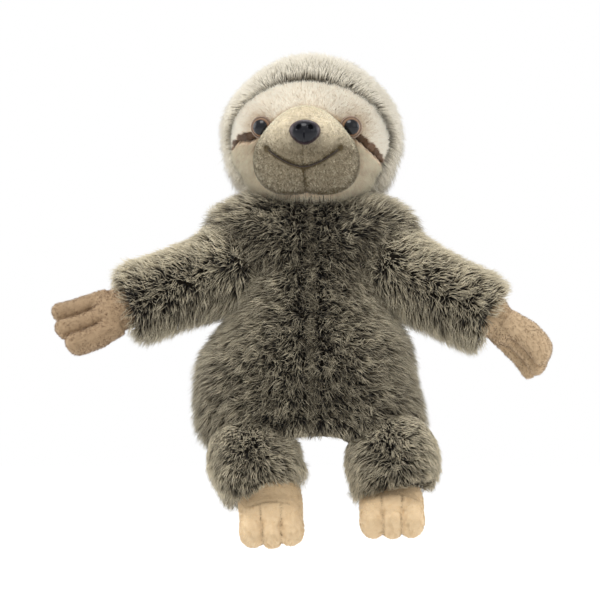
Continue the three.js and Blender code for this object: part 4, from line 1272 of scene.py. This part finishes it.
class PUPPET_OT_face(Operator):
    """Adds the cream brow, the dark eye stripes and the cheeks"""

    bl_idname = "puppet.face"
    bl_label = "Brow, stripes and cheeks"

    def execute(self, context):
        sizes, colours = context.scene.puppet_fur, context.scene.puppet_colours
        brow = nap_hair("brow_hair", colours.brow, 0.94, 1.2, colours.brow_shade)
        stripe = nap_hair("stripe_hair", colours.stripe, 0.6, 1.5, toned(colours.stripe, 0.5))
        cheek = nap_hair("cheek_hair", colours.cheek, 0.92, 1.2, colours.cheek_shade)
        edges = {
            "left top": lambda t: -stripe_angle("left", t, 0),
            "left foot": lambda t: -stripe_angle("left", t, STRIPE_WIDTH),
            "left chin": lambda t: -np.pi + 0 * t,
            "right top": lambda t: stripe_angle("right", t, 0),
            "right foot": lambda t: stripe_angle("right", t, STRIPE_WIDTH),
            "right chin": lambda t: np.pi + 0 * t,
        }
        panels = [
            ("brow_velvet", "brow_panel", "left top", "right top", "brow_plush"),
            ("stripe_velvet_right", "eye_stripe_right", "right top", "right foot", "stripe_plush"),
            ("stripe_velvet_left", "eye_stripe_left", "left foot", "left top", "stripe_plush"),
            ("cheek_velvet_right", "cheek_right", "right foot", "right chin", "cheek_plush"),
            ("cheek_velvet_left", "cheek_left", "left chin", "left foot", "cheek_plush"),
        ]
        # For each kind of plush: its material, hairs, length, lean and thickness, how far apart its locks
        # stand and how much it gathers in them, and how much its tone and its direction vary.
        plush = {
            "brow_plush": (brow, sizes.brow_hairs, sizes.face_pile, 60, 0.42, 1.8, 0.3, 0.1, 0.6),
            "stripe_plush": (stripe, sizes.stripe_hairs, sizes.face_pile, 52, 0.32, 2.8, 0.7, 0.6, 1.5),
            "cheek_plush": (cheek, sizes.cheek_hairs, sizes.cheek_pile, 52, 0.32, 1.8, 0.3, 0.4, 0.6),
        }
        for seed, (name, node, low, high, slot) in enumerate(panels, 61):
            material, number, pile, lean, thick, spacing, gather, vary, ruffle = plush[slot]
            rng = np.random.default_rng(seed)
            grid = facing_out(HEAD.points(face_panel(edges[low], edges[high])), HEAD_MIDDLE)
            cloth = Cloth()
            cloth.wall(grid, PLUSH_BACKING, ground=(0.85, 0.4))
            skin = Skin.of_grid(grid)
            roots, normals, density = skin.scatter(number, rng)
            q = HEAD.local(roots)
            out = unit(q - [0, 0, MUZZLE_CENTRE]) * [1, 0, 1]
            chin = 0 * q[:, 0]
            if slot == "cheek_plush":
                out = out * 0.35 + [0, 0, -1]
                chin = share((26 - q[:, 2]) / 12)
            comb = HEAD.points(out) - HEAD.origin
            grow(cloth, rng, roots, normals, comb, pile / MM * (1 + 0.6 * chin), density,
                 lean - 16 * chin, thick, spacing, self.tone(q, slot), gather, vary, droop=0.05,
                 wobble=0.12, ruffle=ruffle, straight=True)
            made = cloth.piece(name, material)
            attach(made, "head")
            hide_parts(node)
        return {"FINISHED"}

    def tone(self, q, slot):
        """Plush lies darker beside the eyes, a brown tint, and along the muzzle's seam, a brown tint with
        painted shade in its crease.
        """
        x, z = q[:, 0], q[:, 2]
        eye = np.minimum(*from_eyes(x, z))
        angle = np.arctan2(x, z - MUZZLE_CENTRE)
        seam = np.hypot(x, z - MUZZLE_CENTRE) - muzzle_radius(angle) * 0.95
        # The seam's band is partly painted shade in the crease; the darkening beside the eyes is a brown
        # tint.
        dark = 0.85 * bell(eye, 8.0) + 0.7 * bell(seam, 2.2)
        if slot == "stripe_plush":
            return 0.75 - 0.5 * bell(eye - 9, 6)
        if slot == "brow_plush":
            return np.clip(0.97 - dark, 0.05, 1)
        return np.clip(0.95 - 0.5 * dark, 0.05, 1)


class PUPPET_OT_muzzle(Operator):
    """Adds the velour muzzle with its seams, and the embroidered smile"""

    bl_idname = "puppet.muzzle"
    bl_label = "Muzzle and smile"

    def execute(self, context):
        sizes, colours = context.scene.puppet_fur, context.scene.puppet_colours
        rng = np.random.default_rng(71)
        angle = around(160)[None]
        t = np.sin(np.linspace(0.0, np.pi / 2, 76))[:, None]
        grid = muzzle_skin(angle, np.minimum(t, 0.9995))
        grid = grid + self.seams(grid)[..., None] * self.inwards(grid)
        grid = HEAD.points(grid)
        grid = facing_out(grid, HEAD.points(np.array([0, -20.0, MUZZLE_CENTRE])), True)
        nap = nap_hair("muzzle_nap", colours.muzzle, 0.7, 1.15, colours.muzzle_low, 0.1)
        cloth = Cloth()
        # The bare cloth takes the nap's tone, painted shade included.
        bare = np.clip(0.9 * self.shade(HEAD.local(grid[:-1].reshape(-1, 3))), 0.03, 0.95)
        cloth.surface(grid, closed=True, ground=np.stack([bare, 0 * bare + 0.3], -1)[:, None])
        skin = Skin.of_grid(grid, True)
        roots, normals, density = skin.scatter(sizes.muzzle_hairs, rng)
        q = HEAD.local(roots)
        away = unit(q - [0, 0, MUZZLE_CENTRE + 14]) * [1, 0, 1]
        comb = HEAD.points(away + [0, 0, -0.3]) - HEAD.origin
        under = 1 / (1 + np.exp((q[:, 2] - smile_height(q[:, 0]) - 1) / 2.5))
        speckle = 0.5 * drift(q, 3.1, 8)[:, 0] + rng.normal(0, 0.8, len(roots))
        tone = self.shade(q) + (0.05 + 0.16 * under) * np.clip(speckle * 1.5, -1.5, 1.5)
        grow(cloth, rng, roots, normals, comb, sizes.velour_pile / MM, density, lean=52 - 16 * under,
             thick=sizes.nap / MM, spacing=1.2, gather=0.5, vary=0.3, tone=tone, droop=0.02, straight=True)
        made = cloth.piece("muzzle_panels", nap)
        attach(made, "head")
        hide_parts("muzzle_upper", "muzzle_lower_left", "muzzle_lower_right", "muzzle_stuffing")
        self.smile(colours)
        return {"FINISHED"}

    def shade(self, q):
        """The nap's tone: pale over the nose, darker down to the mouth, and darkest in seams and rim, as
        painted shade in the seams' grooves and along the rim against the face.
        """
        # Painted shadow along the rim, where the muzzle meets the face.
        rim = share(1 - (head_skin_y(0, MUZZLE_CENTRE, FACE_INSET) - q[:, 1]) / 4)
        lower = share((HEAD_RISE + 4 - q[:, 2]) / 18)
        return 0.98 - 0.74 * lower - 0.6 * np.minimum(self.seams(q) / 1.2, 1) ** 1.7 - 0.35 * rim

    def seams(self, q):
        """How deep the cloth is drawn in: along the smile, down the middle below it, faintly from nose to
        mouth, and in a dimple at each mouth corner."""
        x, z = q[..., 0], q[..., 2]
        inside = 1 / (1 + np.exp((np.abs(x) - SMILE_HALF) / 0.8))
        depth = 1.5 * bell(z - smile_height(x), 1.5) * inside
        below = 1 / (1 + np.exp((z - smile_height(x)) / 0.8))
        depth += 1.0 * bell(x, 1.1) * below
        depth += 0.5 * bell(x, 1.0) * (1 - below) * (z < HEAD_RISE - 6)
        corner = np.hypot(np.abs(x) - SMILE_HALF - 0.5, z - smile_height(SMILE_HALF) - 0.5)
        return depth + 1.1 * bell(corner, 2.6)

    def inwards(self, grid):
        """From the skin towards the muzzle's middle."""
        return unit(np.array([0, -25.0, MUZZLE_CENTRE + 3]) - grid)

    def smile(self, colours):
        """The thread: a cord of stitches laid along the smile, each stitch a little fatter in its middle."""
        x = np.linspace(-SMILE_HALF, SMILE_HALF, 240)
        z = smile_height(x)
        y = muzzle_front(x, z)
        path = np.stack([x, y + 0.6, z], -1)
        way = unit(np.gradient(path, axis=0))
        side = unit(np.cross(way, [0.0, 1.0, 0.0]))
        front = np.cross(way, side)
        turn = around(10)[None, :, None]
        ends = np.clip(np.minimum(x + SMILE_HALF, SMILE_HALF - x) / 1.5, 0.15, 1)
        stitches = 0.86 + 0.14 * np.abs(np.sin(np.linspace(0, 17 * np.pi, 240)))
        radius = (0.42 * ends * stitches)[:, None, None]
        grid = path[:, None] + radius * (side[:, None] * np.cos(turn) + front[:, None] * np.sin(turn))
        grid = facing_out(HEAD.points(grid), path.mean(0), True)
        recipe = Recipe("smile_thread")
        fibres = recipe.noise(2200)
        material = recipe.finish(
            recipe.mix(toned(colours.thread, 0.6), toned(colours.thread, 1.5), fibres), Roughness=0.6,
            Normal=recipe.bump(fibres, 0.0002, 0.7),
        )
        made = surfaced("smile_thread", material, grid, closed=True)
        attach(made, "head")
        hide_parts("smile_stitch")


def muzzle_front(x, z):
    """The muzzle's depth in front of a point of the face, by halving the way to the tip."""
    near, tip = np.zeros_like(x), np.full_like(x, 0.999)
    for _ in range(30):
        t = (near + tip) / 2
        rise = z - MUZZLE_CENTRE - MUZZLE_UPTURN * t ** 1.5
        inside = np.hypot(x, rise) < muzzle_radius(np.arctan2(x, rise)) * muzzle_scale(t)
        near, tip = np.where(inside, t, near), np.where(inside, tip, t)
    return muzzle_depth(near)


def dome(radius, height, power, rows, sides):
    """A turned dome about the axis that it looks along: height falls as (1 - r^power)^(1/power)."""
    r = np.sin(np.linspace(0, np.pi / 2, rows))[::-1, None]
    angle = around(sides)[None]
    depth = -height * np.maximum(1 - r ** power, 0) ** (1 / power)
    return np.stack([radius * r * np.cos(angle), depth + 0 * angle, radius * r * np.sin(angle)], -1)


class PUPPET_OT_eyes(Operator):
    """Adds the two press-through eyes, each with its lip"""

    bl_idname = "puppet.eyes"
    bl_label = "Eyes"

    def execute(self, context):
        colours = context.scene.puppet_colours
        lip = Recipe("eye_rim")
        grain = lip.noise(700)
        rim_material = lip.finish(
            lip.mix(toned(colours.rim, 0.65), toned(colours.rim, 1.3), grain), Roughness=0.55,
            Coat_Weight=0.2,
        )
        for side, sign in (("left", -1), ("right", 1)):
            x, z = sign * EYE_SPACING / 2, HEAD_RISE + EYE_RISE
            y = float(head_skin_y(x, z, FACE_INSET)) - 0.6
            place = HEAD.child((x, y, z), rotation("z", sign * EYE_TOE_OUT))
            grid = dome(EYE_RADIUS, 5.2, 2.0, 28, 64)
            back = grid[0][None] + [0, 1.5, 0]
            grid = np.concatenate([back, grid])
            glass = self.glass(side, place, colours)
            made = surfaced(f"eye_glass_{side}", glass, place.points(grid), closed=True)
            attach(made, "head")
            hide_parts(f"eye_{side}")
            turn = around(72)[:, None]
            round_it = around(18)[None]
            reach = EYE_RADIUS + 0.3 + 0.6 * np.cos(round_it)
            ring = np.stack([
                reach * np.cos(turn), -0.6 - 1.1 * np.sin(round_it) + 0 * turn, reach * np.sin(turn),
            ], -1)
            ring = np.concatenate([ring, ring[:1]])
            made = surfaced(f"eye_lip_{side}", rim_material, place.points(ring))
            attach(made, "head")
        return {"FINISHED"}

    def glass(self, side, place, colours):
        """Colour by distance from the eye's axis: a wide pupil, a brown ring with fine rays, a dark edge."""
        recipe = Recipe(f"eye_{side}")
        axis = tuple(place.turn @ np.array([0, 1.0, 0]))
        flat = recipe.vector("CROSS_PRODUCT", recipe.spot_from(place.origin), axis)
        far = recipe.vector("LENGTH", flat, output="Value")
        r = far * (1000 / EYE_RADIUS) + (recipe.noise(900) - 0.5) * 0.05
        shade = recipe.ramp(
            r, (0.0, colours.pupil), (0.71, colours.pupil), (0.77, toned(colours.iris, 0.5)),
            (0.84, colours.iris), (0.92, between(colours.iris, colours.rim, 0.8)),
            (1.0, toned(colours.iris, 0.3)),
        )
        return recipe.finish(
            shade, Roughness=0.3, Coat_Weight=0.55, Coat_Roughness=0.18, Specular_IOR_Level=0.04,
        )


class PUPPET_OT_nose(Operator):
    """Adds the plastic nose with nostrils and a groove"""

    bl_idname = "puppet.nose"
    bl_label = "Nose"

    def execute(self, context):
        colours = context.scene.puppet_colours
        z = HEAD_RISE + NOSE_RISE
        origin = (NOSE_ASIDE, float(muzzle_front(np.zeros(1), np.full(1, z))[0]) - 0.3, z)
        place = HEAD.child(origin, np.eye(3))
        grid = dome(1, 1, 2.4, 60, 120)
        x, y, up = grid[..., 0], grid[..., 1], grid[..., 2]
        wide = NOSE_WIDTH / 2 * (1 + 0.15 * up - 0.08 * up ** 2)
        shaped = np.stack([x * wide, y * NOSE_DEPTH, up * NOSE_HEIGHT / 2], -1)
        pit = np.zeros_like(x)
        for sign in (-1, 1):
            bent = (x * sign - 0.36 - 0.25 * (up - 0.38) ** 2) / 0.14
            pit += 1.5 * np.exp(-(bent ** 2 + ((up - 0.4 + 0.35 * (x * sign - 0.36)) / 0.2) ** 2) ** 2)
        groove = 0.75 * bell(x, 0.055) / (1 + np.exp((up - 0.02) / 0.06))
        crown = share(-y) ** 0.5
        shaped[..., 1] += (pit + groove) * crown
        tuck = shaped[0][None] * [0.9, 1, 0.9] + [0, 2.5, 0]
        grid = np.concatenate([tuck, shaped])
        recipe = Recipe("nose_plastic")
        parts = recipe.node("ShaderNodeSeparateXYZ", inputs={0: recipe.spot_from(place.origin)})
        rise = parts.pick("Z") * (1000 / NOSE_HEIGHT * 2)
        far = (parts.pick("X") * (1000 / NOSE_WIDTH * 2)) ** 2.0 + rise * rise
        grains = recipe.noise(1800)
        # Painted reflection: towards its rim the nose pales to the rim colour.
        shade = recipe.ramp(far, (0.0, colours.nose), (0.55, colours.nose), (1.0, colours.nose_rim_reflection))
        # The nostrils' pits are darkened as painted shade; they are also rougher and without coat.
        aside = recipe.maths("ABSOLUTE", parts.pick("X")) * (1000 / NOSE_WIDTH * 2) - 0.38
        pit = (aside * 6.0) ** 2.0 + ((rise - 0.4 + aside * 0.35) * 4.6) ** 2.0
        pit = (1.5 - pit).clamped()
        shade = recipe.mix(shade, toned(colours.nose, 0.3), pit)
        material = recipe.finish(
            shade, Roughness=0.4 + 0.5 * pit, Coat_Weight=0.34 - 0.34 * pit, Coat_Roughness=0.16,
            Specular_IOR_Level=0.08, Normal=recipe.bump(grains, 0.0001, 0.35),
        )
        made = surfaced("nose_button", material, place.points(grid), closed=True)
        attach(made, "head")
        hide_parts("nose")
        return {"FINISHED"}


# Inside.

class PUPPET_OT_inside(Operator):
    """Adds the lining, the bound hem, the neck's seam tapes, the finger pockets and the washers' plastic"""

    bl_idname = "puppet.inside"
    bl_label = "Lining, hem and tapes"

    def execute(self, context):
        colours = context.scene.puppet_colours
        cloth_inside = woven("lining_cloth", colours.lining)
        tape = bpy.data.materials["woven_tape"]
        self.bag(cloth_inside)
        self.hem(tape)
        for name, body, node, radius in (
            ("neck_tape_band", "neck_tape", "neck_seam_tape", NECK_BALL + 0.6),
            ("neck_edge_band", "neck_edge", "neck_edging", NECK_BALL + 2.4),
        ):
            made = surfaced(name, tape, band(Place(NECK, np.eye(3)), radius, 10))
            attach(made, body)
            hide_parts(node)
        self.pocket(
            "finger_stall", HEAD, [(12, 12.6), (30, 12.6), (50, 12.4), (56, 10.5), (59.5, 5.5), (60, 1)],
            "head", "finger_pocket", cloth_inside,
        )
        for side in SHOULDERS:
            self.pocket(
                f"arm_stall_{side}", ARMS[side],
                [(19, 15.4), (0, 14.4), (-25, 13.6), (-45, 12.4), (-51, 9), (-53, 1)],
                f"arm_{side}", f"arm_lining_{side}", cloth_inside,
            )
        plastic = Recipe("washer_plastic")
        grain = plastic.noise(400)
        washer = plastic.finish(
            plastic.mix(toned(colours.washer, 0.85), colours.washer, grain), Roughness=0.45,
            Normal=plastic.bump(grain, 0.0001, 0.3),
        )
        for node in ("eye_washer_left", "eye_washer_right", "nose_washer"):
            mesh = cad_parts[node].data
            mesh.materials.clear()
            mesh.materials.append(washer)
        return {"FINISHED"}

    def pocket(self, name, place, profile, body, node, material):
        """A finger's stall: a thin turned wall with its open end at the root."""
        z, radius = curves(profile, 40)
        angle = around(48)[None]
        creased = radius * (1 + 0.02 * np.sin(5 * angle + z / 6))
        outer = rings(angle, creased, creased, z)
        towards_end = np.sign(profile[-1][0] - profile[0][0])
        inner = outer[::-1] * [0.95, 0.95, 1] - np.array([0, 0, 0.8]) * towards_end
        made = surfaced(name, material, place.points(np.concatenate([inner, outer])), closed=True)
        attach(made, body)
        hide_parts(node)

    def bag(self, material):
        """The lining bag: the body's rings drawn in, with soft folds, open at the mouth and at the neck."""
        angle = around(120)[None]
        z = np.linspace(7.5, 128, 60)[:, None]
        folds = 0.7 * np.sin(7 * angle + z / 14) + 0.4 * np.sin(11 * angle - z / 9)
        outer = body_skin(angle, z, LINING_INSET)
        middle = np.array([0, AXIS_Y, 0])
        outward = unit((outer - middle) * [1, 1, 0])
        outer = outer + outward * folds[..., None]
        inner = outer[::-1] - outward[::-1] * 1.0
        made = surfaced("lining_bag", material, np.concatenate([outer, inner, outer[:1]]))
        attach(made, "torso")
        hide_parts("body_lining")

    def hem(self, material):
        """The bound edge of the hand opening: a rounded, slightly puckered ring."""
        turn = around(160)[:, None]
        round_it = around(20)[None]
        pucker = 1 + 0.05 * np.sin(40 * turn)
        reach = 1.5 + 1.5 * np.sign(np.cos(round_it)) * np.abs(np.cos(round_it)) ** 0.7 * pucker
        rise = 2.0 + 4.9 * np.sign(np.sin(round_it)) * np.abs(np.sin(round_it)) ** 0.7
        x, y = (MOUTH_HALF[0] + reach) * np.cos(turn), (MOUTH_HALF[1] + reach) * np.sin(turn)
        grid = np.stack([x, y, rise * (1 - crotch_arch(x) / 12) + crotch_arch(x)], -1)
        made = surfaced("hem_bound_edge", material, np.concatenate([grid, grid[:1]])[:, ::-1])
        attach(made, "torso")
        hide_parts("hem_binding")


class PUPPET_OT_stage(Operator):
    """Lays a plain pale floor and sets soft studio light"""

    bl_idname = "puppet.stage"
    bl_label = "Floor and light"

    def execute(self, context):
        colours = context.scene.puppet_colours
        recipe = Recipe("floor")
        matte = recipe.node("ShaderNodeBsdfDiffuse", inputs={"Color": colours.floor})
        white = recipe.node("ShaderNodeEmission", inputs={"Color": (1, 1, 1), "Strength": 0.55})
        both = recipe.node("ShaderNodeAddShader", inputs={0: matte, 1: white})
        recipe.end(recipe.node("ShaderNodeMixShader", inputs={0: recipe.seen(), 1: matte, 2: both}))
        wide = np.linspace(-4000, 4000, 9)
        x, y = np.meshgrid(wide, wide, indexing="ij")
        ground = np.stack([x, y, np.full_like(x, FLOOR_LEVEL)], -1)[:, ::-1]
        floor = surfaced("floor", recipe.owner, ground, wrap=False)
        sky = Recipe("studio", bpy.data.worlds)
        lit = sky.node("ShaderNodeBackground", inputs={"Color": (1.0, 0.995, 0.985), "Strength": 0.5})
        white = sky.node("ShaderNodeBackground", inputs={"Color": (1, 1, 1), "Strength": 1.0})
        both = sky.node("ShaderNodeMixShader", inputs={0: sky.seen(), 1: lit, 2: white})
        context.scene.world = sky.end(both, "ShaderNodeOutputWorld")
        lamps = [
            ("key", (-0.4, -1.0, 2.0), 1.2, 27.0), ("fill", (1.4, -1.4, 0.9), 1.4, 4.5),
            ("rear", (0.2, 1.5, 1.5), 1.2, 12.0), ("left side", (-1.7, 0.3, 0.6), 1.4, 12.0),
            ("right side", (1.7, 0.3, 0.6), 1.4, 12.0),
        ]
        for name, place, wide, power in lamps:
            data = bpy.data.lights.new(name, "AREA")
            data.shape, data.size, data.energy = "DISK", wide, power
            lamp = bpy.data.objects.new(name, data)
            context.scene.collection.objects.link(lamp)
            lamp.location = place
            aim = np.array([0, -0.03, 0.08]) - np.array(place)
            tilt = float(np.arccos(-aim[2] / np.linalg.norm(aim)))
            lamp.rotation_euler = (tilt, 0, float(np.arctan2(-aim[0], aim[1])))
        context.scene.view_settings.view_transform = "Standard"
        return {"FINISHED"}


class PUPPET_PT_panel(Panel):
    """Lists the puppet's pieces in the sidebar"""

    bl_idname = "PUPPET_PT_panel"
    bl_label = "Hand puppet"
    bl_space_type = "VIEW_3D"
    bl_region_type = "UI"
    bl_category = "Puppet"

    def draw(self, context):
        for group in (context.scene.puppet_fur, context.scene.puppet_colours):
            box = self.layout.box()
            for name in group.__annotations__:
                box.prop(group, name)
        for operator in OPERATORS:
            self.layout.operator(operator.bl_idname)


OPERATORS = (
    PUPPET_OT_camera, PUPPET_OT_body, PUPPET_OT_limbs, PUPPET_OT_paws, PUPPET_OT_hood, PUPPET_OT_face,
    PUPPET_OT_muzzle, PUPPET_OT_eyes, PUPPET_OT_nose, PUPPET_OT_inside, PUPPET_OT_stage,
)
CLASSES = (PuppetFur, PuppetColours, *OPERATORS, PUPPET_PT_panel)


def register():
    for kind in CLASSES:
        bpy.utils.register_class(kind)
    bpy.types.Scene.puppet_fur = PointerProperty(type=PuppetFur)
    bpy.types.Scene.puppet_colours = PointerProperty(type=PuppetColours)


def unregister():
    del bpy.types.Scene.puppet_fur, bpy.types.Scene.puppet_colours
    for kind in reversed(CLASSES):
        bpy.utils.unregister_class(kind)


def main():
    register()
    for operator in OPERATORS:
        group, name = operator.bl_idname.split(".")
        getattr(getattr(bpy.ops, group), name)()


if __name__ == "__main__":
    main()
